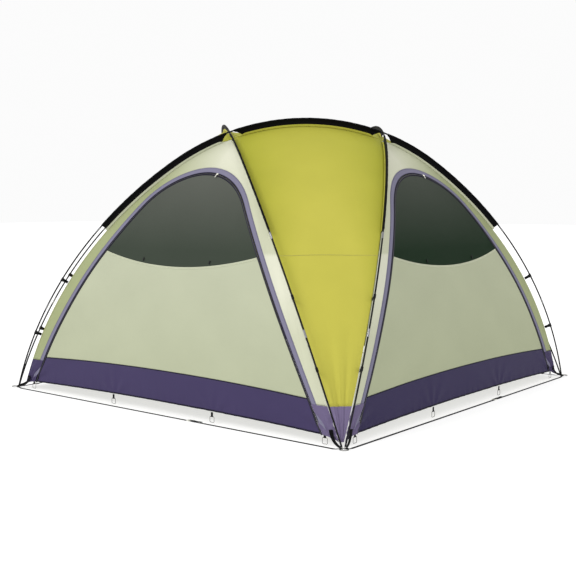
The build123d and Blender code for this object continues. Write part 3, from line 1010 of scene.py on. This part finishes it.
@dataclass
class Canopy:
    """The roof panel and the four corner gussets."""

    finishes: Finishes
    cloth: float = 0.0012
    rows: int = 110
    columns: int = 64
    roof_fill: float = 0.30
    seam_width: float = 0.009
    seam_cloth: float = 0.0014
    seam_proud: float = 0.0009

    def gusset_grid(self, low: float, high: float | None, rows: int) -> Points:
        """The front right gusset between two heights, or up to the crossing pole.

        Args:
            low: height of its foot.
            high: height of its top, or None for the crossing.
            rows: of points.

        Returns:
            The grid, from its foot up.
        """
        form = FORM
        slopes = np.linspace(form.arch().foot, form.crossing * 0.985, 500)
        u, half, z = form.seam(slopes)
        top = form.seam(form.crossing)[2] if high is None else high
        heights = np.linspace(low, top, rows)
        if high is None:
            heights = low + (top - low) * np.sin(np.linspace(0, pi / 2, rows))
        order = np.argsort(z)
        slope = np.interp(heights, z[order], slopes[order])
        u, half, z = form.seam(slope)
        share = (form.arch().foot - slope) / (form.arch().foot - form.crossing)
        crown, crossing = form.arch().point(np.array([0.0, form.crossing]), form.seam_drop)[1]
        across = np.linspace(-1, 1, self.columns)
        tilt = slope * (1 - share**6) + form.lean * share**6
        normal = np.stack([np.sin(tilt), np.zeros_like(tilt), np.cos(tilt)], -1)
        rise = (crown - crossing) * share[:, None] ** 3 * (1 - across[None, :] ** 2)
        rise += self.gusset_folds(share[:, None], across[None, :])
        span = (half - form.seam_gap)[:, None] * across[None, :]
        points = np.zeros((rows, self.columns, 3))
        points[..., 0], points[..., 1], points[..., 2] = u[:, None], span, z[:, None]
        points += rise[..., None] * normal[:, None]
        return turned(points, -0.5)

    def gusset_folds(self, share: Points, across: Points) -> Points:
        """Long folds that run up from the foot, dying out towards the top.

        Args:
            share: of the way up, from 0 to 1.
            across: from -1 to 1.

        Returns:
            Distances out of the smooth surface.
        """
        folds = 0.0045 * np.sin(9.5 * across + 0.8) * np.exp(-(((share - 0.10) / 0.13) ** 2))
        folds += 0.0022 * np.sin(21 * across + 2.1) * np.exp(-(((share - 0.07) / 0.08) ** 2))
        folds += 0.0030 * np.sin(4.2 * across + 6 * share) * np.exp(-(((share - 0.45) / 0.3) ** 2))
        return folds * (1 - across**2)

    def roof_grid(self) -> Points:
        """The roof panel, a saddle between the four crowns.

        Returns:
            The grid.
        """
        form = FORM
        reach = float(form.seam(form.crossing)[1]) - form.seam_gap / cos(form.lean)
        share = np.linspace(-1, 1, self.columns)
        slope = np.arcsin(reach * share / (form.crown_radius - form.seam_drop))
        _, half, z = form.seam(slope)
        crown, crossing = float(form.seam(0.0)[2]), float(form.seam(form.crossing)[2])
        middle = crossing + self.roof_fill * (crown - crossing)
        top = middle + (crown - middle) * share**2
        tilt = form.lean * share
        across = share[None, :]
        normal = np.stack([np.sin(tilt), np.zeros_like(tilt), np.cos(tilt)], -1)
        rise = ((top - z) / np.cos(tilt))[:, None] * (1 - across**2)
        free = (1 - across**2) * (1 - share[:, None] ** 2)
        rise += 0.004 * np.sin(5 * share[:, None] + 1) * np.sin(4 * across + 2) * free
        points = np.zeros((len(share), len(share), 3))
        points[..., 0] = (reach * share)[:, None]
        points[..., 1] = (half - form.seam_gap)[:, None] * across
        points[..., 2] = z[:, None]
        points += rise[..., None] * normal[:, None]
        return turned(points, -0.5)

    def build(self) -> None:
        """Make, dress and place the panels."""
        roof = self.roof_grid()
        # Painted shade: the whole roof takes the shaded lime.
        piece = add_object("roof_cloth", grid_mesh("roof_cloth", roof, 1.0), self.finishes.lime)
        self.place(piece, roof, "roof_panel", "fabric_lime")
        across = np.abs(np.linspace(-1, 1, self.columns))[None, :]
        for quarter, corner in enumerate(CORNERS):
            grid = turned(self.gusset_grid(FORM.skirt_height, None, self.rows), quarter)
            # Painted shade: each gusset darker towards its edges and its top.
            shade = np.clip(0.75 * across**2 + (grid[..., 2] - 1.55) / 1.4, 0, 1)
            name = f"gusset_cloth_{corner}"
            piece = add_object(name, grid_mesh(name, grid, shade), self.finishes.lime)
            self.place(piece, grid, f"gusset_{corner}", "fabric_lime")
            self.build_seam(grid, corner)

    def build_seam(self, grid: Points, corner: str) -> None:
        """The lapped seam across a gusset at the walls' cross seam, and its stitches.

        Args:
            grid: of the gusset.
            corner: it belongs to.
        """
        row = int(np.argmin(np.abs(grid[:, 0, 2] - FORM.cross_seam)))
        path, above = grid[row], grid[row + 1]
        up = unit(np.cross(np.gradient(path, axis=0), above - path))
        up *= np.sign((up * path).sum())
        side = unit(np.cross(up, np.gradient(path, axis=0)))
        band = ribbon(
            f"gusset_seam_{corner}", path, side, up, self.seam_width, self.seam_cloth,
            self.finishes.lime,
        )
        line = (path + self.seam_proud * up, up)
        seam = STITCH.along(f"gusset_stitches_{corner}", [line], self.finishes.thread_dark)
        for piece in (band, seam):
            tie(piece, "root")

    def place(self, piece: Object, grid: Points, node: str, slot: str) -> None:
        """Thicken a panel, tie it to the frame and log the size of its cloth.

        Args:
            piece: the panel.
            grid: of its points.
            node: the CAD node it replaces.
            slot: of its material; not used.
        """
        solidify(piece, self.cloth)
        tie(piece, "root", node)
        declare(piece, [grid])


# ---------------------------------------------------------------- walls


def outline_slopes(drop: float, hem_curve: Curve, count: int) -> Points:
    """Slopes along the outline from hem to hem, evenly spaced by length.

    Args:
        drop: how far inside the outline.
        hem_curve: where the line ends.
        count: how many.

    Returns:
        Slopes from left to right.
    """
    opening = FORM.opening
    slopes = np.linspace(0, opening.foot + radians(6), 2000)
    x, z = opening.point(slopes, drop)
    foot = float(np.interp(0.0, -(z - shallow(hem_curve, x)), slopes))
    fine = np.linspace(-foot, foot, 4000)
    x, z = opening.point(fine, drop)
    length = np.concatenate([[0], np.cumsum(np.hypot(np.diff(x), np.diff(z)))])
    return np.interp(np.linspace(0, length[-1], count), length, fine)


def half_width_at(z: Points, drop: float) -> Points:
    """Half the width of the outline, moved in by a distance, at heights."""
    slopes = np.linspace(0, FORM.opening.foot + radians(6), 2000)
    x, height = FORM.opening.point(slopes, drop)
    return np.interp(z, height[::-1], x[::-1])


def reach_of(curve: Curve) -> float:
    """Where a shallow curve meets the leaf's edge.

    Args:
        curve: as in Form.

    Returns:
        Its distance from the middle.
    """
    reach = 0.5
    for _ in range(40):
        reach = float(half_width_at(np.array(shallow(curve, reach)), FORM.leaf_edge))
    return reach


@dataclass
class Walls:
    """The four walls round their doors, the skirts at the corners, and the bindings."""

    finishes: Finishes
    cloth: float = 0.0012
    rows: int = 240
    columns: int = 22
    band_proud: float = 0.0022
    hem_drop: float = 0.030
    skirt_proud: float = 0.0045
    edge_from: float = 0.036
    edge_blend: float = 0.0025
    band_columns: int = 19
    stitch_inset: float = 0.006
    stitch_proud: float = 0.0003

    def surround_grid(self) -> tuple[Points, Points, Points]:
        """The wall outside the opening and above the corner skirts, with its x and z.

        Returns:
            The grid, its distances across and its heights.
        """
        form = FORM
        low = (form.skirt_height, form.skirt_height, 1.0)
        slopes = outline_slopes(0.0, low, self.rows)
        x_in, z_in = FORM.opening.point(slopes, 0.0)
        x_in[0], x_in[-1] = -x_in[-1], x_in[-1]
        crown = float(FORM.opening.point(0.0, 0.0)[1])
        peak = float(form.seam(form.crossing)[2]) - 0.006
        z_out = form.skirt_height + (z_in - form.skirt_height) * (peak - form.skirt_height) / (
            crown - form.skirt_height
        )
        x_out = np.sign(slopes) * np.maximum(WALL.half_width(z_out), 0.0)
        across = np.linspace(0, 1, self.columns)[None, :]
        x = x_in[:, None] + (x_out - x_in)[:, None] * across
        z = z_in[:, None] + (z_out - z_in)[:, None] * across
        return WALL.lift(x, z), x, z

    def shade(self, x: Points, z: Points, hand: int) -> Points:
        """Painted shade: how green the cloth turns towards the darker pair of corners, over the
        cross seam and low down.

        Args:
            x: across the wall.
            z: height.
            hand: 1 where the darker corner is at the left.

        Returns:
            Values from 0 to 1.
        """
        away = np.clip(0.1 - hand * x, 0, 1) ** 0.7
        over = np.clip((z - FORM.cross_seam) / 0.01, 0, 1) * np.clip((2.0 - z) / 0.4, 0, 1)
        under = np.clip((1.0 - z) / 0.3, 0, 1)
        return np.clip(away + 0.34 * over + 0.30 * under + 0.12, 0, 1)

    def band_grid(
        self, inner: float, outer: float, proud: float, low: float, columns: int
    ) -> Points:
        """A strip of the wall between two distances in from the opening's edge.

        Args:
            inner: where it starts, in from the edge.
            outer: where it ends.
            proud: its height out of the wall.
            low: height of its foot, or 0 for the hem.
            columns: of points.

        Returns:
            The grid.
        """
        grid = np.zeros((self.rows * 2, columns, 3))
        hem = FORM.hem if low == 0 else (low, low, 1.0)
        for column, drop in enumerate(np.linspace(inner, outer, columns)):
            slopes = outline_slopes(drop, hem, self.rows * 2)
            x, z = FORM.opening.point(slopes, drop)
            edge = 1 - (2 * column / (columns - 1) - 1) ** 8
            grid[:, column] = WALL.lift(x, z, proud * edge)
        return grid

    def skirt_grid(self, hand: int) -> Points:
        """The skirt of the wall beside the opening, at the right for hand 1, left for -1.

        Args:
            hand: which side of the opening.

        Returns:
            The grid.
        """
        form = FORM
        rise = np.linspace(0, 1, 40)[:, None]
        across = np.linspace(0, 1, 40)[None, :]
        low = form.corner_hem - self.hem_drop * across**2
        z = low + (form.skirt_height - low) * rise
        inner = half_width_at(z, form.binding_width - 0.004)
        x = inner + (WALL.half_width(z) - inner) * across
        away = form.side / 2 - 0.02 - x
        angle, reach = np.arctan2(z, away), np.hypot(z, away)
        fold = np.sin(15 * angle + 1.0) + 0.5 * np.sin(34 * angle + 2.0)
        fold *= 0.0040 * np.clip(reach / 0.16, 0, 1) * (1 - rise**6) * (1 - across**8)
        return WALL.lift(hand * x, z, self.skirt_proud * (1 - across**6) + fold)

    def build(self, canopy: Canopy) -> None:
        """Make, dress and place the walls.

        Args:
            canopy: that gives the skirts their middles.
        """
        surround, x, z = self.surround_grid()
        for quarter, side in enumerate(SIDES):
            name = f"wall_cloth_{side}"
            grid = turned(surround, quarter)
            mesh = grid_mesh(name, grid, self.shade(x, z, 1 if quarter % 2 == 0 else -1))
            piece = solidify(add_object(name, mesh, self.finishes.cream), self.cloth)
            tie(piece, "root", f"wall_{side}")
            declare(piece, [grid])
        self.build_bindings()
        self.build_skirts(canopy)

    def build_bindings(self) -> None:
        """The lavender bindings round the four openings, with a row of stitches at each edge."""
        band = self.band_grid(0.0, FORM.binding_width, self.band_proud, 0.0, self.band_columns)
        drops = np.linspace(0, FORM.binding_width, self.band_columns)
        shade = np.clip((drops - self.edge_from) / self.edge_blend, 0, 1)[None, :]
        lines = []
        for drop in (self.stitch_inset, FORM.binding_width - self.stitch_inset):
            slopes = outline_slopes(drop, (FORM.skirt_height, FORM.skirt_height, 1.0), 600)
            x, z = FORM.opening.point(slopes, drop)
            path = WALL.lift(x, z, self.band_proud + self.stitch_proud)
            lines.append((path, WALL.normal(z)))
        for quarter, side in enumerate(SIDES):
            name = f"binding_{side}"
            grid = turned(band, quarter)
            piece = add_object(name, grid_mesh(name, grid, shade), self.finishes.band)
            solidify(piece, self.cloth + self.band_proud / 2)
            seam = STITCH.along(
                f"binding_stitches_{side}",
                [(turned(path, quarter), turned(up, quarter)) for path, up in lines],
                self.finishes.thread_dark,
            )
            tie(piece, "root", "door_bindings" if quarter == 0 else None)
            tie(seam, "root")
            declare(piece, [grid])

    def build_skirts(self, canopy: Canopy) -> None:
        """The skirts that wrap the four corners.

        Args:
            canopy: that gives their middles.
        """
        foot = canopy.gusset_grid(FORM.corner_hem - self.hem_drop, FORM.skirt_height, 40)
        for quarter, corner in enumerate(CORNERS):
            # Painted shade: the back-right and front-left skirts turn navy, and the side cuts are
            # partly shaded at the other corners.
            dark = float(quarter % 2)
            cuts = (
                ("middle", turned(foot, quarter), dark),
                ("right", turned(self.skirt_grid(1), quarter), 0.35 + 0.6 * dark),
                ("left", turned(self.skirt_grid(-1), quarter + 1), 0.35 + 0.6 * dark),
            )
            for place, grid, shade in cuts:
                name = f"corner_skirt_{corner}_{place}"
                mesh = grid_mesh(name, grid, shade)
                piece = solidify(add_object(name, mesh, self.finishes.lavender), self.cloth)
                first = quarter == 0 and place == "middle"
                tie(piece, "root", "corner_skirts" if first else None)
                declare(piece, [grid])


# ---------------------------------------------------------------- doors


@dataclass
class Door:
    """One door leaf: window net, panel, skirt, and its half of the zip."""

    side: str
    quarter: int
    finishes: Finishes
    cloth: float = 0.0012
    columns: int = 200
    tape_lap: float = 0.004
    tape_proud: float = 0.0006
    coil_place: float = 0.005
    coil_proud: float = 0.0018
    toggle_lift: float = 0.030
    toggle_proud: float = 0.004
    toggle_trim: float = 0.46

    def between(
        self, low: Curve, high: Curve, rows: int
    ) -> Points:
        """Cloth inside the leaf's edge, between two shallow curves.

        Args:
            low: its lower edge.
            high: its upper edge.
            rows: of points.

        Returns:
            The grid.
        """
        u = np.linspace(-1, 1, self.columns)[None, :]
        v = np.linspace(0, 1, rows)[:, None]
        x = u * half_width_at(np.full((rows, 1), (low[0] + high[0]) / 2), FORM.leaf_edge)
        for _ in range(12):
            z = shallow(low, x) + (shallow(high, x) - shallow(low, x)) * v
            x = u * half_width_at(z, FORM.leaf_edge)
        return WALL.lift(x, z)

    def window(self, rows: int) -> Points:
        """Net between the window's lower edge and the leaf's edge.

        Args:
            rows: of points.

        Returns:
            The grid.
        """
        u = np.sin(np.linspace(-pi / 2, pi / 2, self.columns))[None, :]
        v = np.linspace(0, 1, rows)[:, None]
        slopes = np.linspace(0, FORM.opening.foot, 2000)
        x_edge, z_edge = FORM.opening.point(slopes, FORM.leaf_edge)
        x = np.broadcast_to(u * reach_of(FORM.window), (rows, self.columns))
        top = np.interp(np.abs(x), x_edge, z_edge)
        low = np.minimum(shallow(FORM.window, x), top)
        return WALL.lift(x, low + (top - low) * v)

    def build(self) -> None:
        """Make, dress and place the leaf."""
        body = f"door_{self.side}"
        # Painted shade: the right and back doors are darker all over.
        shaded = 1.0 if self.side in ("right", "back") else 0.0
        panel = self.between(FORM.skirt, FORM.window, 90)
        skirt = self.between(FORM.hem, FORM.skirt, 36)
        net = self.window(70)
        # Painted shade: the panel darker towards its foot.
        low_shade = 0.3 * shaded + 0.4 * np.clip((1.2 - panel[..., 2]) / 0.9, 0, 1)
        # Painted shade: the net darker low down, where the dark inside shows through.
        net_shade = 0.42 * shaded + 0.58 * np.clip((1.80 - net[..., 2]) / 0.55, 0, 1)
        cloths = (
            ("panel", panel, low_shade, self.finishes.sage, "fabric_sage"),
            # Painted shade: the skirts of the right and back doors are darker.
            ("skirt", skirt, 0.75 * shaded, self.finishes.navy, "skirt_navy"),
            ("mesh", net, net_shade, self.finishes.net, "insect_mesh"),
        )
        for kind, grid, shade, material, slot in cloths:
            grid = turned(grid, self.quarter)
            name = f"{kind}_cloth_{self.side}"
            piece = solidify(add_object(name, grid_mesh(name, grid, shade), material), self.cloth)
            tie(piece, body, f"door_{kind}_{self.side}")
            declare(piece, [grid])
        self.build_zip(body)
        self.build_trim(body)

    def build_zip(self, body: str) -> None:
        """The zip's tape on the leaf, and its coil of teeth.

        Args:
            body: the leaf rides on.
        """
        slopes = outline_slopes(FORM.zip_line, FORM.hem, 700)
        across = np.linspace(FORM.zip_line, FORM.leaf_edge + self.tape_lap, 4)
        strips = [WALL.lift(*FORM.opening.point(slopes, drop), self.tape_proud) for drop in across]
        grid = np.stack(strips, 1)
        grid = turned(grid, self.quarter)
        name = f"zip_tape_{self.side}"
        tape = solidify(add_object(name, grid_mesh(name, grid), self.finishes.tape), self.cloth)
        x, z = FORM.opening.point(slopes, FORM.zip_line + self.coil_place)
        line = turned(WALL.lift(x, z, self.coil_proud), self.quarter)
        normal = turned(WALL.normal(z), self.quarter)
        teeth = TOOTH.along(f"zip_coil_{self.side}", [(line, normal)], self.finishes.teeth)
        tie(tape, body, f"door_zip_{self.side}")
        tie(teeth, body)
        declare(tape, [grid])

    def line(
        self, curve: Curve, lift: float, proud: float, trim: float = 0.0
    ) -> tuple[Points, Points]:
        """A line across the leaf along a shallow curve, with its normals.

        Args:
            curve: as in Form.
            lift: above the curve.
            proud: out of the cloth.
            trim: left off at each end.

        Returns:
            The path and the outward vectors, in place.
        """
        reach = reach_of(curve)
        x = np.linspace(trim - reach, reach - trim, 260)
        z = shallow(curve, x) + lift
        return turned(WALL.lift(x, z, proud), self.quarter), turned(WALL.normal(z), self.quarter)

    def build_trim(self, body: str) -> None:
        """Piping at the hem and at the skirt's top, tape under the window, stitches and toggles.

        Args:
            body: the leaf rides on.
        """
        finishes = self.finishes
        bands = (
            ("hem_piping", FORM.hem, 0.006, 0.012, finishes.tape, "zip_tape"),
            ("skirt_piping", FORM.skirt, 0.0, 0.007, finishes.tape, "zip_tape"),
            ("window_tape", FORM.window, -0.004, 0.016, finishes.sage, "fabric_sage"),
        )
        for kind, curve, lift, width, material, slot in bands:
            path, up = self.line(curve, lift, 0.0008, 0.004)
            side = unit(np.cross(up, np.gradient(path, axis=0)))
            tie(ribbon(f"{kind}_{self.side}", path, side, up, width, 0.0018, material), body)
        seams = (
            ("skirt", [self.line(FORM.skirt, -0.012, 0.0004, 0.01)], finishes.thread_dark),
            ("window", [self.line(FORM.window, lift, 0.0019, 0.01) for lift in (-0.009, 0.001)],
             finishes.thread_light),
        )
        for kind, lines, thread in seams:
            tie(STITCH.along(f"{kind}_stitches_{self.side}", lines, thread), body)
        path, up = self.line(
            FORM.window, self.toggle_lift, self.toggle_proud, self.toggle_trim
        )
        toggles = TOGGLE.along(f"toggles_{self.side}", [(path, up)], finishes.plastic)
        tie(toggles, body)


# ---------------------------------------------------------------- poles and sleeves


@dataclass
class Sleeve:
    """A pole's black sleeve: a tube on a flat fin, in three stretches."""

    corner: str
    quarter: int
    layer: float
    finishes: Finishes
    bore: float = 0.0082
    end_height: float = 1.427
    crossing_gap: float = 0.034
    taper: float = 0.075
    fin_half: float = 0.0016
    edge_drop: float = 0.037
    edge_cloth: float = 0.0008
    edge_gap: float = 0.0013
    edge_ease: float = 0.0016
    neck: float = 0.012
    step: float = 0.016

    def stretches(self) -> list[tuple[float, float]]:
        """Lengths from the crown at which the three stretches start and end.

        Returns:
            Each stretch's start and end.
        """
        arch = FORM.arch(self.layer)
        slopes = np.linspace(0, arch.foot, 4000)
        height = arch.point(slopes)[1] * cos(FORM.lean)
        end = self.length(float(np.interp(-self.end_height, -height, slopes)))
        cross = self.length(FORM.crossing)
        gap = self.crossing_gap
        return [(-end, -cross - gap), (-cross + gap, cross - gap), (cross + gap, end)]

    def length(self, slope: float) -> float:
        """Length from the crown to a slope."""
        arch = FORM.arch(self.layer)
        crown = min(slope, arch.angle)
        return arch.radius * crown + arch.leg_radius * max(slope - arch.angle, 0.0)

    def loops(self, first: float, last: float) -> Points:
        """Cross-sections of a stretch, from one length to another.

        Args:
            first: where it starts.
            last: where it ends.

        Returns:
            Stations by points by 3.
        """
        pole = Pole(self.layer)
        count = int((last - first) / self.step)
        lengths = np.linspace(first, last, count)
        slope = pole.arch.slope_along(lengths)
        points, outward = pole.frames(slope)
        cross = self.length(FORM.crossing)
        full = FORM.seam_drop - FORM.seam_gap + self.layer * FORM.layer_rise
        near = np.abs(np.abs(lengths) - cross) - self.crossing_gap
        share = np.clip(near / self.taper, 0, 1)
        depth = self.neck + (full - self.neck) * share * share * (3 - 2 * share)
        ripple = 1 + 0.05 * np.sin(lengths * 95) + 0.04 * np.sin(lengths * 41 + 1.0)
        angles = np.linspace(-0.80 * pi, 0.80 * pi, 13)
        radius = (self.bore * ripple)[:, None]
        x = radius * np.cos(angles)[None, :]
        y = radius * np.sin(angles)[None, :]
        fin = np.array([0.35, 0.7, 1.0])
        x_fin = -(self.bore + (depth[:, None] - self.bore) * fin[None, :])
        sway = 0.0012 * np.sin(lengths * 33)[:, None] * fin[None, :] * (1 - fin[None, :])
        upper_y = sway + self.fin_half
        lower_y = sway - self.fin_half
        across = np.concatenate([x, x_fin, x_fin[:, ::-1]], 1)
        sideways = np.concatenate([y, upper_y, lower_y[:, ::-1]], 1)
        points = points[:, None] + across[..., None] * outward[:, None]
        return points + sideways[..., None] * pole.side

    def build(self) -> None:
        """Make, dress and place the sleeve."""
        parts = []
        for i, (first, last) in enumerate(self.stretches()):
            loops = turned(self.loops(first, last), self.quarter)
            name = f"sleeve_{self.corner}_{i}"
            parts.append(add_object(name, tube_mesh(name, loops), self.finishes.sleeve))
        sleeve = join(f"sleeve_cloth_{self.corner}", parts)
        tie(sleeve, "root", f"sleeve_{self.corner}")

    def edge_grid(self, first: float, last: float, hand: int) -> Points:
        """The edge of the cloth that runs up one side of the fin, from one length to another.

        Args:
            first: where it starts.
            last: where it ends.
            hand: which side of the fin, 1 or -1.

        Returns:
            The grid.
        """
        pole = Pole(0.0)
        lengths = np.linspace(first, last, int((last - first) / self.step))
        slope = pole.arch.slope_along(lengths)
        near = np.abs(np.abs(lengths) - self.length(FORM.crossing)) - self.crossing_gap
        share = np.clip(near / self.taper, 0, 1) ** 2
        low = FORM.seam_drop + 0.0015
        top = low - (low - self.edge_drop) * share
        drops = low + (top - low)[:, None] * np.linspace(0, 1, 4)[None, :]
        points = np.stack([pole.frames(slope, drops[:, k])[0] for k in range(4)], 1)
        ease = np.linspace(1, 0, 4)[None, :, None] * self.edge_ease
        points += hand * (self.fin_half + self.edge_gap + ease) * pole.side
        return points

    def build_edges(self) -> None:
        """The panels' edges on the fin: bright inside, and cream on the outer legs."""
        spans = self.stretches()
        inside = [(*span, -1) for span in spans] + [(*spans[1], 1)]
        outside = [(*spans[0], 1), (*spans[2], 1)]
        edges = (
            ("lime", inside, self.finishes.lime, "fabric_lime"),
            ("cream", outside, self.finishes.cream, "fabric_cream"),
        )
        for kind, places, material, slot in edges:
            name = f"{kind}_edge_{self.corner}"
            grids = [turned(self.edge_grid(*place), self.quarter) for place in places]
            parts = [
                # Painted shade: the edge strips take a middle shade, halfway to the shaded colour.
                add_object(f"{name}_{i}", grid_mesh(f"{name}_{i}", grid, 0.5), material)
                for i, grid in enumerate(grids)
            ]
            piece = solidify(join(name, parts), self.edge_cloth)
            tie(piece, "root")
            declare(piece, grids)


# ---------------------------------------------------------------- straps at the ground


@dataclass
class Tethers:
    """Webbing tails from the skirts to the corner rings, and the buckles of the ground straps."""

    finishes: Finishes
    hem_place: float = 1.628
    hem_width: float = 0.034
    ring_width: float = 0.015
    strap_line: float = 1.7684
    strap_top: float = 0.0022
    buckle_place: float = 0.36
    buckle: tuple[float, float] = (0.034, 0.029)
    bar: tuple[float, float] = (0.0052, 0.0042)
    loose_end: tuple[float, float, float] = (0.13, 0.0185, 0.0014)
    webbing: float = 0.0018

    def tail(self, hand: int) -> Object:
        """A tail on the front wall, at its right for hand 1 and its left for -1.

        Args:
            hand: which end of the wall.

        Returns:
            The tail.
        """
        top = WALL.lift(self.hem_place, 0.112, 0.0085)
        hem = WALL.lift(self.hem_place + 0.004, 0.052, 0.0075)
        slack = np.array([self.hem_place + 0.05, -self.strap_line + 0.026, 0.022])
        ring = np.array([self.strap_line - 0.030, -self.strap_line + 0.004, 0.0165])
        t = np.linspace(0, 1, 28)[:, None]
        path = (1 - t) ** 3 * top + 3 * (1 - t) ** 2 * t * hem
        path += 3 * (1 - t) * t**2 * slack + t**3 * ring
        path[:, 0] *= hand
        along = unit(np.gradient(path, axis=0))
        up = np.array([0.0, -1.0, 0.35])
        side = unit(np.cross(up, along))
        width = self.hem_width + (self.ring_width - self.hem_width) * t[:, 0] ** 0.7
        face = unit(np.cross(along, side))
        return ribbon("tail", path, side, face, width, self.webbing, self.finishes.webbing)

    def build_tails(self) -> None:
        """All eight tails, as one piece."""
        parts = []
        for quarter in range(4):
            for hand in (-1, 1):
                part = self.tail(hand)
                part.data.transform(Matrix.Rotation(quarter * pi / 2, 4, "Z"))
                parts.append(part)
        tie(join("corner_tails", parts), "root", "corner_webbing")

    def build_buckles(self) -> None:
        """A ladder buckle on each ground strap, with the strap's loose end beside it."""
        frames, ends = [], []
        length, width = self.buckle
        middle = self.strap_top + 0.0022
        for quarter in range(4):
            bars = [((x, -width / 2), (x, width / 2)) for x in (-length / 2, 0.0, length / 2)]
            bars += [((-length / 2, y), (length / 2, y)) for y in (-width / 2, width / 2)]
            for start, end in bars:
                t = np.linspace(0, 1, 5)[:, None]
                flat = np.array(start) + (np.array(end) - np.array(start)) * t
                flat += np.array([self.buckle_place, -self.strap_line])
                path = turned(np.column_stack([flat, np.full(5, middle)]), quarter)
                side = np.cross(UP, unit(path[-1] - path[0]))
                frames.append(ribbon("bar", path, side, UP, *self.bar, self.finishes.toggle))
            x = np.linspace(0.0, self.loose_end[0], 30)
            z = middle + 0.0036 + 0.0016 * np.sin(x * 42) ** 2
            path = np.column_stack([x + self.buckle_place, np.full(30, -self.strap_line), z])
            side = turned(np.array([0.0, 1.0, 0.0]), quarter)
            path = turned(path, quarter)
            end = ribbon("end", path, side, UP, *self.loose_end[1:], self.finishes.webbing)
            ends.append(end)
        tie(join("strap_buckles", frames), "root")
        tie(join("strap_ends", ends), "root")

    def build(self) -> None:
        """Make every tether."""
        self.build_tails()
        self.build_buckles()


# ---------------------------------------------------------------- stage


@dataclass
class Studio:
    """Floor, light and camera."""

    camera_place: tuple[float, float, float] = (5.4035, -6.8913, 1.6173)
    heading: float = radians(38.709)
    pitch: float = radians(-4.05)
    lens: float = 61.0
    shift: float = -0.02816

    def build(self) -> None:
        """Make the stage and set the scene's camera."""
        scene = bpy.context.scene
        scene.view_settings.view_transform = "Standard"
        size = 60.0
        corners = [(-size, -size), (size, -size), (size, size), (-size, size)]
        mesh = bpy.data.meshes.new("floor")
        mesh.from_pydata([(x, y, -0.0015) for x, y in corners], [], [(0, 1, 2, 3)])
        shader = Shader("pale_floor", 0.9)
        shader.surface.inputs["Base Color"].default_value = (0.45, 0.45, 0.45, 1)
        shader.surface.inputs["Emission Color"].default_value = (1.0, 1.0, 1.0, 1)
        shader.surface.inputs["Emission Strength"].default_value = 0.66
        shader.surface.inputs["Specular IOR Level"].default_value = 0.1
        add_object("floor", mesh, shader.material)
        world = bpy.data.worlds.new("soft_white")
        world.use_nodes = True
        background = world.node_tree.nodes["Background"]
        background.inputs["Color"].default_value = (1.0, 1.0, 1.0, 1)
        background.inputs["Strength"].default_value = 0.97
        scene.world = world
        self.sun("key", (-0.42, -0.80, 0.75), 1.30, radians(25))
        self.sun("fill", (0.9, -0.45, 0.55), 0.15, radians(60))
        camera = bpy.data.cameras.new("camera")
        camera.lens = self.lens
        camera.sensor_width = 36.0
        camera.shift_y = self.shift
        holder = bpy.data.objects.new("camera", camera)
        scene.collection.objects.link(holder)
        holder.location = self.camera_place
        c, s = cos(self.pitch), sin(self.pitch)
        forward = Vector((-sin(self.heading) * c, cos(self.heading) * c, s))
        holder.rotation_euler = forward.to_track_quat("-Z", "Y").to_euler()
        scene.camera = holder

    def sun(
        self, name: str, towards: tuple[float, float, float], strength: float, angle: float
    ) -> None:
        """A soft sun that shines from a direction.

        Args:
            name: of the light.
            towards: where the sun stands.
            strength: of the light.
            angle: its breadth, in radians.
        """
        light = bpy.data.lights.new(name, "SUN")
        light.energy = strength
        light.angle = angle
        holder = bpy.data.objects.new(name, light)
        bpy.context.scene.collection.objects.link(holder)
        holder.rotation_euler = Vector(towards).to_track_quat("Z", "Y").to_euler()


# ---------------------------------------------------------------- main


def dress(node: Object, material: Material) -> None:
    """Give a CAD node its finish."""
    node.data.materials.clear()
    node.data.materials.append(material)
    LOG.info("%s: %s", node.name, material.name)


def main() -> None:
    """Load the frame and build every sub-assembly round it."""
    logging.basicConfig(level=logging.INFO, format="%(name)s: %(message)s")
    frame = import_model()
    nodes = frame["nodes"]
    Studio().build()
    finishes = Finishes()
    canopy = Canopy(finishes)
    canopy.build()
    Walls(finishes).build(canopy)
    for quarter, side in enumerate(SIDES):
        Door(side, quarter, finishes).build()
    for quarter, corner in enumerate(CORNERS):
        sleeve = Sleeve(corner, quarter, 1.0 if quarter % 2 == 0 else -1.0, finishes)
        sleeve.build()
        sleeve.build_edges()
        dress(nodes[f"pole_{corner}"], finishes.pole)
    Tethers(finishes).build()
    kept = {
        "corner_rings": finishes.steel, "corner_pins": finishes.steel,
        "pole_ferrules": finishes.ferrule, "shock_cords": finishes.elastic,
        "pole_clips": finishes.plastic, "clip_tabs": finishes.strap,
        "ground_straps": finishes.strap, "jamb_ring_tabs": finishes.strap,
    }
    for side in SIDES:
        kept[f"hem_rings_{side}"] = kept[f"jamb_rings_{side}"] = finishes.steel
        kept[f"zip_slider_{side}"] = finishes.bright
        kept[f"hem_ring_tabs_{side}"] = finishes.strap
    for name, finish in kept.items():
        dress(nodes[name], finish)


if __name__ == "__main__":
    main()
